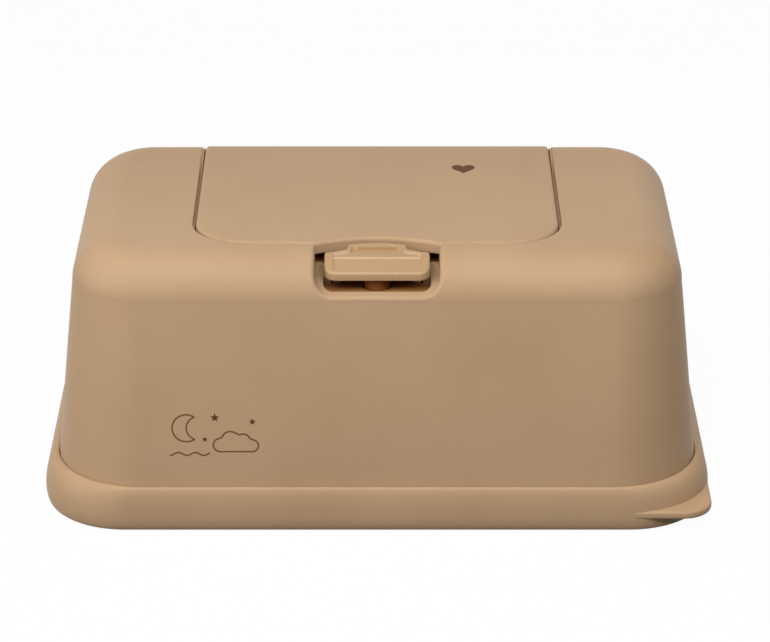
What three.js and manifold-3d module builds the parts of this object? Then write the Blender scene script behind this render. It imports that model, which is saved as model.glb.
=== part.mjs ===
// A table-top box that dispenses moist wipes: a shallow base tray, a hood that plugs into it,
// a sprung lid that wraps over the hood's rear shoulder, and a rocking latch button at the front.
// Millimetres, +X to the right, -Y to the front, +Z up, origin under the middle of the base.
import * as THREE from "three";
import { mergeVertices } from "three/addons/utils/BufferGeometryUtils.js";
import Module from "manifold-3d";

const wasm = await Module();
wasm.setup();

// Clearances
const seatGap = 0.3;
const runningGap = 0.2;
const lidGap = 1;
const lidFrontGap = 0.6;
const sweepGap = 0.5;
const overrun = 8;

// Hood: the upper shell, whose walls lean in and roll over a shoulder to a flat top
const hoodLength = 210.7;
const hoodDepth = 125.5;
const hoodCornerRadius = 29.1;
const hoodHeight = 92.1;
const shoulderRadius = 14.5;
const draftShare = 0.105;
const wall = 2.2;
const seamHeight = 15.9;

// Base tray: a floor with a bulged rim that the hood plugs into
const rimLength = 220;
const rimDepth = 130.3;
const rimCornerRadius = 27.8;
const rimWidestHeight = 5.6;
const rimUndercut = 1.2;
const rimLip = 0.25;
const rimWall = 2.2;
const floorThickness = 2.2;
const guideThickness = 1.5;
const guideHeight = 6;
const channelRibThickness = 1.2;
const channelRibHeight = 1.6;
const panelMargin = 34;
const panelDepth = 0.6;
const panelCornerRadius = 12;

// Pull tab: one front corner of the rim drawn out to a tighter corner
const tabCornerRadius = 9.6;
const tabThickness = 2.8;
const tabTopHeight = 7.8;
const tabEdgeRadius = 0.7;
const tabInset = 0.45;

// Rubber feet, glued into shallow seats
const footRadius = 6;
const footReach = 0.8;
const footSink = 0.8;
const footMargin = 19;
const footBevel = 0.4;

// Gasket under the hood's lower edge
const gasketHeight = 1.3;

// Lid: a shallow shell with a skirt, arched over the button
const lidWidth = 118.2;
const lidFrontInset = 16.8;
const lidCornerRadius = 16.5;
const lidRise = 0.35;
const lidWall = 2.1;
const skirtGap = 2;
const archRadius = 44.2;
const archDepth = 3.7;
const hornPlace = 20.6;
const hornReach = 10.4;
const deckDrop = 5.6;

// Hinge: a steel pin under the rear shoulder, in a rolled trough
const hingeDepth = 5.1;
const hingeAngle = THREE.MathUtils.degToRad(28);
const pinRadius = 1.25;
const knuckleRadius = 3.4;
const knuckleWidth = 6;
const earRadius = 2.7;
const earWidth = 3;
const earPlace = 24;
const knucklePlace = 18;

// Torsion springs round the pin, one towards each end
const lidWire = 0.8;
const lidCoilRadius = 2.15;
const lidCoilPitch = 1.3;
const lidCoilTurns = 4;
const lidCoilPlace = 32;
const hoodLegLength = 6.8;
const lidLegLength = 9.3;
const hoodLegAngle = THREE.MathUtils.degToRad(-78);
const lidLegAngle = THREE.MathUtils.degToRad(53);

// Dispensing opening in the deck under the lid, and the seal that closes it
const openingSideMargin = 14.1;
const openingFrontMargin = 5.6;
const openingRearMargin = 12;
const openingCornerRadius = 14;
const landWidth = 2.4;
const landHeight = 1.2;
const flangeThickness = 1.6;
const flangeHeight = 3;
const sealRibThickness = 1;
const sealRibHeight = 1.2;

// Button pocket in the hood's front shoulder, with the deeper well of its mechanism
const pocketWidth = 40;
const pocketCornerRadius = 5.5;
const pocketLipDrop = 12.1;
const pocketAngle = THREE.MathUtils.degToRad(11.3);
const wellFrontInset = 3.4;
const wellStepInset = 17.9;
const wellRearInset = 26.7;
const wellWidth = 29.6;
const wellDrop = 18.5;
const wellLap = 2.5;

// Latch button: a rocker on a pin, with a sunken pad and a tongue that rises to the lid
const buttonWidth = 33.8;
const buttonFrontInset = 3.8;
const buttonFrontDrop = 5.2;
const buttonFaceHeight = 2.2;
const buttonSlope = THREE.MathUtils.degToRad(19.8);
const tongueSlope = THREE.MathUtils.degToRad(11.5);
const buttonSkirtSlope = THREE.MathUtils.degToRad(8);
const buttonCornerRadius = 3.7;
const shelfCornerRadius = 4.2;
const buttonWall = 1.6;
const buttonArchGap = 1.3;
const shelfDrop = 2.9;
const tongueWidth = 16.6;
const tongueNeckWidth = 19.8;
const tongueNeckReach = 4.2;
const padMargin = 1.2;
const padSideMargin = 2.9;
const padDepth = 0.4;
const crestReach = 7.5;
const crestWidth = 0.8;
const buttonPinRadius = 1;
const buttonPinInset = 15.3;
const buttonPinHeight = 6;
const lugRadius = 2.7;
const lugWidth = 2.5;
const lugGap = 0.8;
const noseThickness = 1.5;
const noseWidth = 12;
const noseDrop = 7.6;
const noseGap = 0.3;

// Catch on the lid, in reach of the button's nose
const catchWidth = 11;
const catchReach = 0.8;
const catchBeadHeight = 1.2;
const catchDrop = 10;

// Compression spring under the button
const buttonWire = 0.5;
const buttonCoilRadius = 2.3;
const buttonCoilTurns = 7;
const buttonCoilInset = 9.9;
const spigotRadius = 1.7;
const spigotHeight = 1.8;
const cupHeight = 9;
const cupGap = 0.45;
const cupWall = 1;

// Facets
const cornerSteps = 8;
const shoulderSteps = 6;
const rimSteps = 6;
const roundSides = 24;
const troughSides = 56;
const curlSteps = 8;
const wireSides = 5;

// Heights and places that follow from the sizes above
const gasketWidth = wall - seatGap / 2;
const floorBottom = footReach;
const floorTop = floorBottom + floorThickness;
const plugBottom = floorTop + gasketHeight + 2 * seatGap;
const shoulderStart = hoodHeight - shoulderRadius;
const leanAtShoulder = draftShare * (shoulderStart - seamHeight);
const shoulderCentreY = hoodDepth / 2 - leanAtShoulder - shoulderRadius;
const shoulderY = shoulderCentreY + shoulderRadius;
const lidFront = shoulderY - lidFrontInset;
const wellFront = shoulderY - wellFrontInset;
const wellStep = shoulderY - wellStepInset;
const wellRear = shoulderY - wellRearInset;
const buttonFront = shoulderY - buttonFrontInset;
const buttonPinFront = shoulderY - buttonPinInset;
const buttonCoilFront = shoulderY - buttonCoilInset;
const lidTop = hoodHeight + lidRise;
const lidUnderside = lidTop - lidWall;
const deckTop = hoodHeight - deckDrop;
const deckBottom = deckTop - wall;
const skirtBottom = deckTop + skirtGap;
const hingeReach = shoulderRadius - hingeDepth;
const hingeY = shoulderCentreY + hingeReach * Math.cos(hingeAngle);
const hingeZ = shoulderStart + lidRise + hingeReach * Math.sin(hingeAngle);
const lipRadius = Math.hypot(shoulderY - hingeY, hingeZ - shoulderStart - lidRise);
const troughRadius = lipRadius + sweepGap;
const troughHalf = lidWidth / 2 + lidGap;
const archCentreY = -lidFront + archDepth - archRadius;
const archRear = -lidFront + archDepth;
const landTop = deckTop + landHeight;
const openingFrontY = openingFrontMargin - wellRear;
const openingRearY = hingeY - troughRadius - openingRearMargin;
const openingLength = lidWidth - 2 * openingSideMargin;
const wellFloor = hoodHeight - wellDrop;
const pocketLipZ = hoodHeight - pocketLipDrop;
const buttonCrest = -buttonFront + crestReach;
const buttonPivot = new THREE.Vector3(0, -buttonPinFront, wellFloor + buttonPinHeight);
const hingePivot = new THREE.Vector3(0, hingeY, hingeZ);

// Solids from three.js geometry, and back to a named mesh

/** The closed solid of a geometry whose shared corners are merged. */
function solidOf(geometry) {
  const bare = geometry.index ? geometry.toNonIndexed() : geometry.clone();
  bare.deleteAttribute("normal");
  bare.deleteAttribute("uv");
  const merged = mergeVertices(bare);
  return new wasm.Manifold(
    new wasm.Mesh({
      numProp: 3,
      vertProperties: merged.attributes.position.array,
      triVerts: new Uint32Array(merged.index.array),
    }),
  );
}

/** A mesh of a solid, with its own origin at the pivot that its group stands at. */
function meshOf(name, solid, material, pivot = new THREE.Vector3()) {
  const { vertProperties, triVerts } = solid.getMesh();
  const indexed = new THREE.BufferGeometry()
    .setAttribute("position", new THREE.BufferAttribute(vertProperties, 3))
    .setIndex(new THREE.BufferAttribute(triVerts, 1));
  const geometry = indexed.toNonIndexed().translate(-pivot.x, -pivot.y, -pivot.z);
  geometry.computeVertexNormals();
  const mesh = new THREE.Mesh(geometry, material);
  mesh.name = name;
  return mesh;
}

/** All the solids as one. */
function joined(solids) {
  return solids.reduce((whole, next) => whole.add(next));
}

/** The first solid less all the others. */
function cutBy(solid, cutters) {
  return cutters.reduce((rest, cutter) => rest.subtract(cutter), solid);
}

// Outlines and the forms made from them

/** Points of a rectangle with round corners, anticlockwise about the origin. */
function roundedRectangle(halfX, halfY, radius) {
  const points = [];
  for (let corner = 0; corner < 4; corner++) {
    const centreX = (corner === 0 || corner === 3 ? 1 : -1) * (halfX - radius);
    const centreY = (corner < 2 ? 1 : -1) * (halfY - radius);
    for (let step = 0; step <= cornerSteps; step++) {
      const angle = (Math.PI / 2) * (corner + step / cornerSteps);
      points.push(new THREE.Vector2(centreX + radius * Math.cos(angle), centreY + radius * Math.sin(angle)));
    }
  }
  return points;
}

/** A body through convex rings of equal count, from the lowest to the highest, closed by two fans. */
function loft(rings) {
  const count = rings[0].points.length;
  const positions = rings.flatMap(({ points, z }) => points.flatMap((p) => [p.x, p.y, z]));
  const faces = [];
  for (let ring = 0; ring < rings.length - 1; ring++) {
    for (let i = 0; i < count; i++) {
      const a = ring * count + i;
      const b = ring * count + ((i + 1) % count);
      faces.push(a, b, b + count, a, b + count, a + count);
    }
  }
  const last = (rings.length - 1) * count;
  for (let i = 1; i < count - 1; i++) {
    faces.push(0, i + 1, i);
    faces.push(last, last + i, last + i + 1);
  }
  const geometry = new THREE.BufferGeometry()
    .setAttribute("position", new THREE.Float32BufferAttribute(positions, 3))
    .setIndex(faces);
  return solidOf(geometry);
}

/** A flat outline, as a shape or its points, raised from one height to another. */
function prism(outline, bottom, top) {
  const shape = outline instanceof THREE.Shape ? outline : new THREE.Shape(outline);
  const geometry = new THREE.ExtrudeGeometry(shape, {
    depth: top - bottom,
    bevelEnabled: false,
    curveSegments: cornerSteps,
  });
  return solidOf(geometry.translate(0, 0, bottom));
}

/** A wall between two outlines. */
function ring(outside, inside, bottom, top) {
  const shape = new THREE.Shape(outside);
  shape.holes.push(new THREE.Path(inside));
  return prism(shape, bottom, top);
}

/** An upright box between two corners in plan. */
function block(x0, x1, y0, y1, bottom, top) {
  const geometry = new THREE.BoxGeometry(x1 - x0, y1 - y0, top - bottom);
  return solidOf(geometry.translate((x0 + x1) / 2, (y0 + y1) / 2, (bottom + top) / 2));
}

/** A side profile in Y and Z carried along X. */
function profileAlongX(shape, x0, x1) {
  const geometry = new THREE.ExtrudeGeometry(shape, {
    depth: x1 - x0,
    bevelEnabled: false,
    curveSegments: roundSides / 2,
  });
  const toSide = new THREE.Matrix4().makeBasis(
    new THREE.Vector3(0, 1, 0),
    new THREE.Vector3(0, 0, 1),
    new THREE.Vector3(1, 0, 0),
  );
  return solidOf(geometry.applyMatrix4(toSide).translate(x0, 0, 0));
}

/** A round bar along X about a line at the given place. */
function barAlongX(radius, x0, x1, y, z, sides = roundSides) {
  const geometry = new THREE.CylinderGeometry(radius, radius, x1 - x0, sides);
  return solidOf(geometry.rotateZ(Math.PI / 2).translate((x0 + x1) / 2, y, z));
}

/** An upright round post. */
function post(radius, x, y, bottom, top) {
  const geometry = new THREE.CylinderGeometry(radius, radius, top - bottom, roundSides);
  return solidOf(geometry.rotateX(Math.PI / 2).translate(x, y, (bottom + top) / 2));
}

/** A wire of round section along a curve, as one closed tube. */
function wireAlong(curve, diameter, steps) {
  const section = new THREE.Shape(
    Array.from({ length: wireSides }, (_, i) => {
      const angle = (2 * Math.PI * i) / wireSides;
      return new THREE.Vector2(Math.cos(angle), Math.sin(angle)).multiplyScalar(diameter / 2);
    }),
  );
  return solidOf(new THREE.ExtrudeGeometry(section, { steps, extrudePath: curve, bevelEnabled: false }));
}

/** The least clear gap between two runs of a wire that lie more than half a turn apart. */
function leastGap(curve, diameter, turnLength) {
  const points = curve.getSpacedPoints(Math.round(curve.getLength() / diameter) * 2);
  const spacing = curve.getLength() / (points.length - 1);
  const apart = Math.ceil(turnLength / 2 / spacing);
  let least = Infinity;
  for (let i = 0; i < points.length; i++) {
    for (let j = i + apart; j < points.length; j++) {
      least = Math.min(least, points[i].distanceTo(points[j]));
    }
  }
  return least - diameter;
}

/** The hood's outline in plan at a height, drawn in by an inset. */
function hoodPlan(inset, z) {
  const lean = draftShare * Math.max(0, Math.min(z, shoulderStart) - seamHeight) + inset;
  return roundedRectangle(hoodLength / 2 - lean, hoodDepth / 2 - lean, hoodCornerRadius - lean);
}

/** The hood's form from a height up, drawn in all over by an inset and raised by a lift. */
function hoodForm(inset, bottom, lift = 0) {
  const rings = [bottom, Math.max(bottom, seamHeight), shoulderStart]
    .filter((z, i, all) => i === 0 || z > all[i - 1])
    .map((z) => ({ points: hoodPlan(inset, z), z: z + (z === bottom ? 0 : lift) }));
  for (let step = 1; step <= shoulderSteps; step++) {
    const angle = ((Math.PI / 2) * step) / shoulderSteps;
    const rolledIn = inset + (shoulderRadius - inset) * (1 - Math.cos(angle));
    const z = shoulderStart + (shoulderRadius - inset) * Math.sin(angle) + lift;
    rings.push({ points: hoodPlan(rolledIn, shoulderStart), z });
  }
  return loft(rings);
}

/** The rim's outline in plan, from the seam at bulge 0 to its widest at bulge 1. */
function rimPlan(bulge, inset) {
  const seamX = hoodLength / 2 + seatGap + rimLip;
  const seamY = hoodDepth / 2 + seatGap + rimLip;
  return roundedRectangle(
    THREE.MathUtils.lerp(seamX, rimLength / 2, bulge) - inset,
    THREE.MathUtils.lerp(seamY, rimDepth / 2, bulge) - inset,
    THREE.MathUtils.lerp(hoodCornerRadius + seatGap + rimLip, rimCornerRadius, bulge) - inset,
  );
}

/** The rim's bulged form, drawn in by an inset: a short quarter ellipse below, a tall one above. */
function rimForm(inset, bottom) {
  const rings = [];
  for (let step = 0; step < rimSteps; step++) {
    const angle = (Math.PI / 2) * (1 - step / rimSteps);
    const z = rimWidestHeight - (rimWidestHeight - bottom) * Math.sin(angle);
    rings.push({ points: rimPlan(1, inset + rimUndercut * (1 - Math.cos(angle))), z });
  }
  for (let step = 0; step <= rimSteps; step++) {
    const angle = ((Math.PI / 2) * step) / rimSteps;
    const z = rimWidestHeight + (seamHeight - rimWidestHeight) * Math.sin(angle);
    rings.push({ points: rimPlan(Math.cos(angle), inset), z });
  }
  return loft(rings);
}

/** The lid's outline grown by offsets: round corners, horns beside the pocket and an arch between them. */
function lidShape(offset, arched, frontOffset = offset) {
  const half = lidWidth / 2 + offset;
  const front = -lidFront - frontOffset;
  const radius = lidCornerRadius + offset;
  const rear = hoodDepth / 2 + overrun;
  const arch = archRadius - frontOffset;
  const hornY = archCentreY + Math.sqrt(arch ** 2 - hornPlace ** 2);
  const hornAngle = Math.asin(hornPlace / arch);
  const bend = hornPlace + hornReach / 2;
  const shape = new THREE.Shape();
  shape.moveTo(-half, rear);
  shape.lineTo(-half, front + radius);
  shape.absarc(-half + radius, front + radius, radius, Math.PI, 1.5 * Math.PI);
  shape.lineTo(-hornPlace - hornReach, front);
  shape.quadraticCurveTo(-bend, front, -hornPlace, hornY);
  if (arched) {
    shape.absarc(0, archCentreY, arch, Math.PI / 2 + hornAngle, Math.PI / 2 - hornAngle, true);
  }
  shape.lineTo(hornPlace, hornY);
  shape.quadraticCurveTo(bend, front, hornPlace + hornReach, front);
  shape.absarc(half - radius, front + radius, radius, 1.5 * Math.PI, 2 * Math.PI);
  shape.lineTo(half, rear);
  return shape;
}

/** The dispensing opening's outline, grown by an offset. */
function openingPlan(offset) {
  return roundedRectangle(
    openingLength / 2 + offset,
    (openingRearY - openingFrontY) / 2 + offset,
    openingCornerRadius + offset,
  ).map((point) => point.add(new THREE.Vector2(0, (openingFrontY + openingRearY) / 2)));
}

/** The four places of the feet, named by corner. */
function footPlaces() {
  const x = hoodLength / 2 - footMargin;
  const y = hoodDepth / 2 - footMargin;
  return {
    front_left: [-x, -y],
    front_right: [x, -y],
    rear_left: [-x, y],
    rear_right: [x, y],
  };
}

// Base tray and what sits in it

/** The pull tab: a thin plate with rolled edges under a tighter copy of the rim's front right corner. */
function pullTab() {
  const rings = [];
  const bottom = tabTopHeight - tabThickness;
  for (const [z, inset] of [
    [bottom, tabEdgeRadius],
    [bottom + tabEdgeRadius, 0],
    [tabTopHeight - tabEdgeRadius, 0],
    [tabTopHeight, tabEdgeRadius],
  ]) {
    const drawnIn = inset + tabInset;
    const points = roundedRectangle(
      rimLength / 2 - drawnIn,
      rimDepth / 2 - drawnIn,
      tabCornerRadius - inset,
    );
    rings.push({ points, z });
  }
  const cornerOnly = block(
    rimLength / 2 - rimCornerRadius,
    rimLength / 2 + overrun,
    -rimDepth / 2 - overrun,
    -rimDepth / 2 + rimCornerRadius,
    0,
    seamHeight,
  );
  return loft(rings).intersect(cornerOnly);
}

function baseTray() {
  const shell = rimForm(0, floorBottom).add(pullTab());
  const bulgeSpace = rimForm(rimWall, floorBottom).intersect(
    block(-rimLength, rimLength, -rimDepth, rimDepth, floorTop, seamHeight),
  );
  const mouth = prism(hoodPlan(-seatGap, seamHeight), floorTop, seamHeight + overrun);
  const panel = prism(
    roundedRectangle(rimLength / 2 - panelMargin, rimDepth / 2 - panelMargin, panelCornerRadius),
    floorBottom - overrun,
    floorBottom + panelDepth,
  );
  const seats = Object.values(footPlaces()).map(([x, y]) =>
    post(footRadius + seatGap, x, y, floorBottom - overrun, footReach + footSink + seatGap),
  );
  const bosses = Object.values(footPlaces()).map(([x, y]) =>
    post(footRadius + rimWall, x, y, floorTop - panelDepth, floorTop + panelDepth),
  );
  const guide = ring(
    hoodPlan(wall + seatGap, seamHeight),
    hoodPlan(wall + seatGap + guideThickness, seamHeight),
    floorTop - panelDepth,
    floorTop + guideHeight,
  );
  const channelRib = ring(
    hoodPlan(-seatGap - channelRibThickness, seamHeight),
    hoodPlan(-seatGap, seamHeight),
    floorTop - panelDepth,
    floorTop + channelRibHeight,
  );
  return cutBy(joined([cutBy(shell, [bulgeSpace, mouth]), guide, channelRib, ...bosses]), [
    panel,
    ...seats,
  ]);
}

function baseGasket() {
  return ring(
    hoodPlan(0, seamHeight),
    hoodPlan(gasketWidth, seamHeight),
    floorTop + seatGap,
    floorTop + seatGap + gasketHeight,
  );
}

/** A foot about its own axis: a puck with a turned-in lower edge. */
function footPuck() {
  const height = footReach + footSink;
  const profile = [
    new THREE.Vector2(0, 0),
    new THREE.Vector2(footRadius - footBevel, 0),
    new THREE.Vector2(footRadius, footBevel),
    new THREE.Vector2(footRadius, height),
    new THREE.Vector2(0, height),
  ];
  return solidOf(new THREE.LatheGeometry(profile, roundSides).rotateX(Math.PI / 2));
}

// Hood

/** The button pocket's channel, grown by an offset: a trough with round lower corners, rising rearwards. */
function pocketForm(offset) {
  const half = pocketWidth / 2 + offset;
  const radius = pocketCornerRadius + offset;
  const length = shoulderY - wellStep + wellLap - offset;
  const shape = new THREE.Shape();
  shape.moveTo(-half, hoodHeight);
  shape.lineTo(-half, radius - offset);
  shape.absarc(-half + radius, radius - offset, radius, Math.PI, 1.5 * Math.PI);
  shape.absarc(half - radius, radius - offset, radius, 1.5 * Math.PI, 2 * Math.PI);
  shape.lineTo(half, hoodHeight);
  const geometry = new THREE.ExtrudeGeometry(shape, {
    depth: length + overrun + offset,
    bevelEnabled: false,
    curveSegments: cornerSteps,
  });
  geometry.rotateX(Math.PI / 2).translate(0, length + offset, 0);
  return solidOf(geometry.rotateX(pocketAngle).translate(0, -shoulderY, pocketLipZ));
}

/** The well behind and below the pocket, grown by an offset: narrow in front, full width behind. */
function mechanismWell(offset, top) {
  const narrow = wellWidth / 2 + offset;
  const wide = pocketWidth / 2 + offset;
  const bottom = wellFloor - offset;
  return joined([
    block(-narrow, narrow, -wellFront - offset, -wellRear + offset, bottom, top),
    block(-wide, wide, -wellStep - offset, -wellRear + offset, bottom, top),
  ]);
}

/** One bearing ear: a round eye for the pin on an arm from the trough's front wall. */
function hingeEar(side) {
  const x = side * earPlace;
  const arm = block(
    x - earWidth / 2,
    x + earWidth / 2,
    hingeY - troughRadius - wall / 2,
    hingeY,
    hingeZ - earRadius,
    hingeZ + earRadius,
  );
  return arm.add(barAlongX(earRadius, x - earWidth / 2, x + earWidth / 2, hingeY, hingeZ));
}

function hood() {
  const outside = hoodForm(0, plugBottom);
  const inside = hoodForm(wall, plugBottom - overrun);
  const cheek = troughHalf + wall;
  const recessBody = joined([
    prism(lidShape(lidGap + wall, false, lidFrontGap + wall), deckBottom, hoodHeight),
    barAlongX(troughRadius + wall, -cheek, cheek, hingeY, hingeZ, troughSides),
    pocketForm(wall),
    mechanismWell(wall, hoodHeight),
  ]).intersect(outside);
  const flangeBottom = deckBottom - flangeHeight;
  const flange = ring(openingPlan(flangeThickness), openingPlan(0), flangeBottom, deckBottom + wall / 2);
  const land = ring(openingPlan(landWidth), openingPlan(0), deckTop - wall / 2, landTop);
  const body = cutBy(joined([outside.subtract(inside), recessBody, flange]), [
    prism(lidShape(lidGap, false, lidFrontGap), deckTop, hoodHeight + overrun),
    barAlongX(troughRadius, -troughHalf, troughHalf, hingeY, hingeZ, troughSides),
    pocketForm(0),
    mechanismWell(0, hoodHeight + overrun),
  ]);
  const spigot = post(spigotRadius, 0, -buttonCoilFront, wellFloor - wall / 2, wellFloor + spigotHeight);
  return cutBy(joined([body, land, hingeEar(1), hingeEar(-1), spigot]), [
    prism(openingPlan(0), deckBottom - overrun, hoodHeight),
    barAlongX(pinRadius + runningGap, -cheek - overrun, cheek + overrun, hingeY, hingeZ),
    barAlongX(
      buttonPinRadius + runningGap,
      -pocketWidth / 2,
      pocketWidth / 2,
      buttonPivot.y,
      buttonPivot.z,
    ),
  ]);
}

// Lid, its seal, hinge pin and springs

/** One lid knuckle: an eye on the pin with a web up to the shell's rear shoulder. */
function lidKnuckle(side) {
  const reach = hingeDepth - lidWall / 2;
  const web = new THREE.Shape([
    new THREE.Vector2(0, -knuckleRadius),
    new THREE.Vector2(reach, -knuckleRadius),
    new THREE.Vector2(reach, knuckleRadius),
    new THREE.Vector2(0, knuckleRadius),
  ]);
  const x = side * knucklePlace;
  const eye = barAlongX(knuckleRadius, x - knuckleWidth / 2, x + knuckleWidth / 2, 0, 0);
  const raised = eye.add(profileAlongX(web, x - knuckleWidth / 2, x + knuckleWidth / 2));
  return raised.rotate([THREE.MathUtils.radToDeg(hingeAngle), 0, 0]).translate([0, hingeY, hingeZ]);
}

/** The catch: a tab down from the arch's skirt with a bead for the button's nose. */
function lidCatch() {
  const face = archRear;
  const bottom = hoodHeight - catchDrop;
  const bead = new THREE.Shape([
    new THREE.Vector2(face + lidWall, bottom),
    new THREE.Vector2(face - catchReach / 2, bottom),
    new THREE.Vector2(face - catchReach, bottom + catchReach),
    new THREE.Vector2(face - catchReach, bottom + catchBeadHeight),
    new THREE.Vector2(face, bottom + catchBeadHeight),
    new THREE.Vector2(face, skirtBottom + wall),
    new THREE.Vector2(face + lidWall, skirtBottom + wall),
  ]);
  return profileAlongX(bead, -catchWidth / 2, catchWidth / 2);
}

function lid() {
  const half = lidWidth / 2;
  const plate = prism(lidShape(0, true), skirtBottom, lidTop + overrun);
  const drum = barAlongX(lipRadius, -half, half, hingeY, hingeZ, troughSides);
  const outside = hoodForm(0, seamHeight, lidRise).intersect(plate.add(drum));
  const hollow = hoodForm(lidWall, seamHeight, lidRise).intersect(
    prism(lidShape(-lidWall, true), seamHeight, lidTop + overrun),
  );
  const channel = [landWidth + seatGap + sealRibThickness, -seatGap].map((offset) =>
    ring(
      openingPlan(offset),
      openingPlan(offset - sealRibThickness),
      lidUnderside - sealRibHeight,
      lidUnderside + lidWall / 2,
    ),
  );
  const body = joined([cutBy(outside, [hollow]), ...channel, lidKnuckle(1), lidKnuckle(-1), lidCatch()]);
  return body.subtract(barAlongX(pinRadius + runningGap, -half - overrun, half + overrun, hingeY, hingeZ));
}

function lidSeal() {
  return ring(openingPlan(landWidth), openingPlan(0), landTop + seatGap, lidUnderside - seatGap);
}

function hingePin() {
  const end = troughHalf + wall;
  return barAlongX(pinRadius, -end, end, hingeY, hingeZ);
}

/** The path of a lid spring: a leg to the hood, round turns about the pin, a leg to the lid. */
class TorsionPath extends THREE.Curve {
  constructor(side) {
    super();
    this.side = side;
    this.sweep = lidLegAngle - hoodLegAngle + 2 * Math.PI * lidCoilTurns;
    this.coilLength = Math.hypot(this.sweep * lidCoilRadius, (this.sweep / (2 * Math.PI)) * lidCoilPitch);
  }

  /** The point at an angle of the coil, about the pin's axis. */
  onCoil(angle) {
    const along = (lidCoilPitch * (angle - hoodLegAngle)) / (2 * Math.PI);
    return new THREE.Vector3(
      this.side * (lidCoilPlace + along),
      lidCoilRadius * Math.cos(angle),
      lidCoilRadius * Math.sin(angle),
    );
  }

  getPoint(t, target = new THREE.Vector3()) {
    const run = t * (hoodLegLength + this.coilLength + lidLegLength) - hoodLegLength;
    const turned = THREE.MathUtils.clamp((run / this.coilLength) * this.sweep, 0, this.sweep);
    const angle = hoodLegAngle + turned;
    const beyond = run - (turned / this.sweep) * this.coilLength;
    const tangent = new THREE.Vector3(0, -Math.sin(angle), Math.cos(angle));
    return target.copy(this.onCoil(angle)).addScaledVector(tangent, beyond);
  }
}

function lidSpring(side) {
  const path = new TorsionPath(side);
  const turnLength = 2 * Math.PI * lidCoilRadius;
  const steps = Math.round((path.getLength() / turnLength) * curlSteps);
  console.log(`lid spring: least gap ${leastGap(path, lidWire, turnLength).toFixed(2)} mm`);
  return wireAlong(path, lidWire, steps).translate([0, hingeY, hingeZ]);
}

// Latch button, its pin and spring

/** The height of the button's top at a place: a slope up to the crest, then the tongue's gentler one. */
function buttonTopAt(y) {
  const beforeCrest = Math.min(y, buttonCrest) + buttonFront;
  const pastCrest = Math.max(y - buttonCrest, 0);
  const front = hoodHeight - buttonFrontDrop;
  return front + Math.tan(buttonSlope) * beforeCrest + Math.tan(tongueSlope) * pastCrest;
}

/** The button's outline, drawn in by an inset: round corners, rear edge along the lid's arch. */
function buttonShape(inset, archGap = buttonArchGap + inset) {
  const half = buttonWidth / 2 - inset;
  const front = -buttonFront + inset;
  const radius = buttonCornerRadius - inset / 2;
  const rearRadius = shelfCornerRadius - inset / 2;
  const arch = archRadius - archGap;
  const sweep = Math.asin((half - rearRadius) / (arch - rearRadius));
  const rearY = archCentreY + (arch - rearRadius) * Math.cos(sweep);
  const shape = new THREE.Shape();
  shape.absarc(-half + radius, front + radius, radius, Math.PI, 1.5 * Math.PI);
  shape.absarc(half - radius, front + radius, radius, 1.5 * Math.PI, 2 * Math.PI);
  shape.absarc(half - rearRadius, rearY, rearRadius, 0, Math.PI / 2 - sweep);
  shape.absarc(0, archCentreY, arch, Math.PI / 2 - sweep, Math.PI / 2 + sweep);
  shape.absarc(-half + rearRadius, rearY, rearRadius, Math.PI / 2 + sweep, Math.PI);
  return shape;
}

/** A slab between two depths below the button's top, from one place to another, across its whole width. */
function topSlab(depth, lowest, y0, y1) {
  const middle = THREE.MathUtils.clamp(buttonCrest, y0, y1);
  const places = middle > y0 && middle < y1 ? [y0, middle, y1] : [y0, y1];
  const above = places.map((y) => new THREE.Vector2(y, buttonTopAt(y) - depth));
  const below = places.map((y) => new THREE.Vector2(y, buttonTopAt(y) - lowest));
  return profileAlongX(new THREE.Shape([...below, ...above.reverse()]), -buttonWidth / 2, buttonWidth / 2);
}

/** The room above the button's lower edge, which rises rearwards at a slope of its own. */
function aboveSkirt() {
  const front = hoodHeight - buttonFrontDrop - buttonFaceHeight;
  const rise = Math.tan(buttonSkirtSlope) * (archRear + buttonFront);
  const profile = new THREE.Shape([
    new THREE.Vector2(-buttonFront, front),
    new THREE.Vector2(archRear, front + rise),
    new THREE.Vector2(archRear, hoodHeight),
    new THREE.Vector2(-buttonFront, hoodHeight),
  ]);
  return profileAlongX(profile, -buttonWidth / 2, buttonWidth / 2);
}

/** The raised part in plan: the pad's full width to the crest, then flanks that close in on the tongue. */
function tongueShape(inset) {
  const half = tongueWidth / 2 - inset;
  const neck = tongueNeckWidth / 2 - inset;
  const side = buttonWidth / 2;
  return new THREE.Shape([
    new THREE.Vector2(-side, buttonCrest - overrun),
    new THREE.Vector2(side, buttonCrest - overrun),
    new THREE.Vector2(side, buttonCrest - inset),
    new THREE.Vector2(neck, buttonCrest + tongueNeckReach - inset),
    new THREE.Vector2(half, archRear),
    new THREE.Vector2(-half, archRear),
    new THREE.Vector2(-neck, buttonCrest + tongueNeckReach - inset),
    new THREE.Vector2(-side, buttonCrest - inset),
  ]);
}

/** One lug: a plate down from the button's cap to an eye on its pin. */
function buttonLug(side) {
  const outer = side * (wellWidth / 2 - lugGap);
  const inner = outer - side * lugWidth;
  const [x0, x1] = [Math.min(outer, inner), Math.max(outer, inner)];
  const plate = block(
    x0,
    x1,
    buttonPivot.y - lugRadius,
    buttonPivot.y + lugRadius,
    buttonPivot.z,
    hoodHeight - shelfDrop - buttonWall / 2,
  ).intersect(prism(buttonShape(buttonWall / 2), buttonPivot.z, hoodHeight));
  return plate.add(barAlongX(lugRadius, x0, x1, buttonPivot.y, buttonPivot.z));
}

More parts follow.
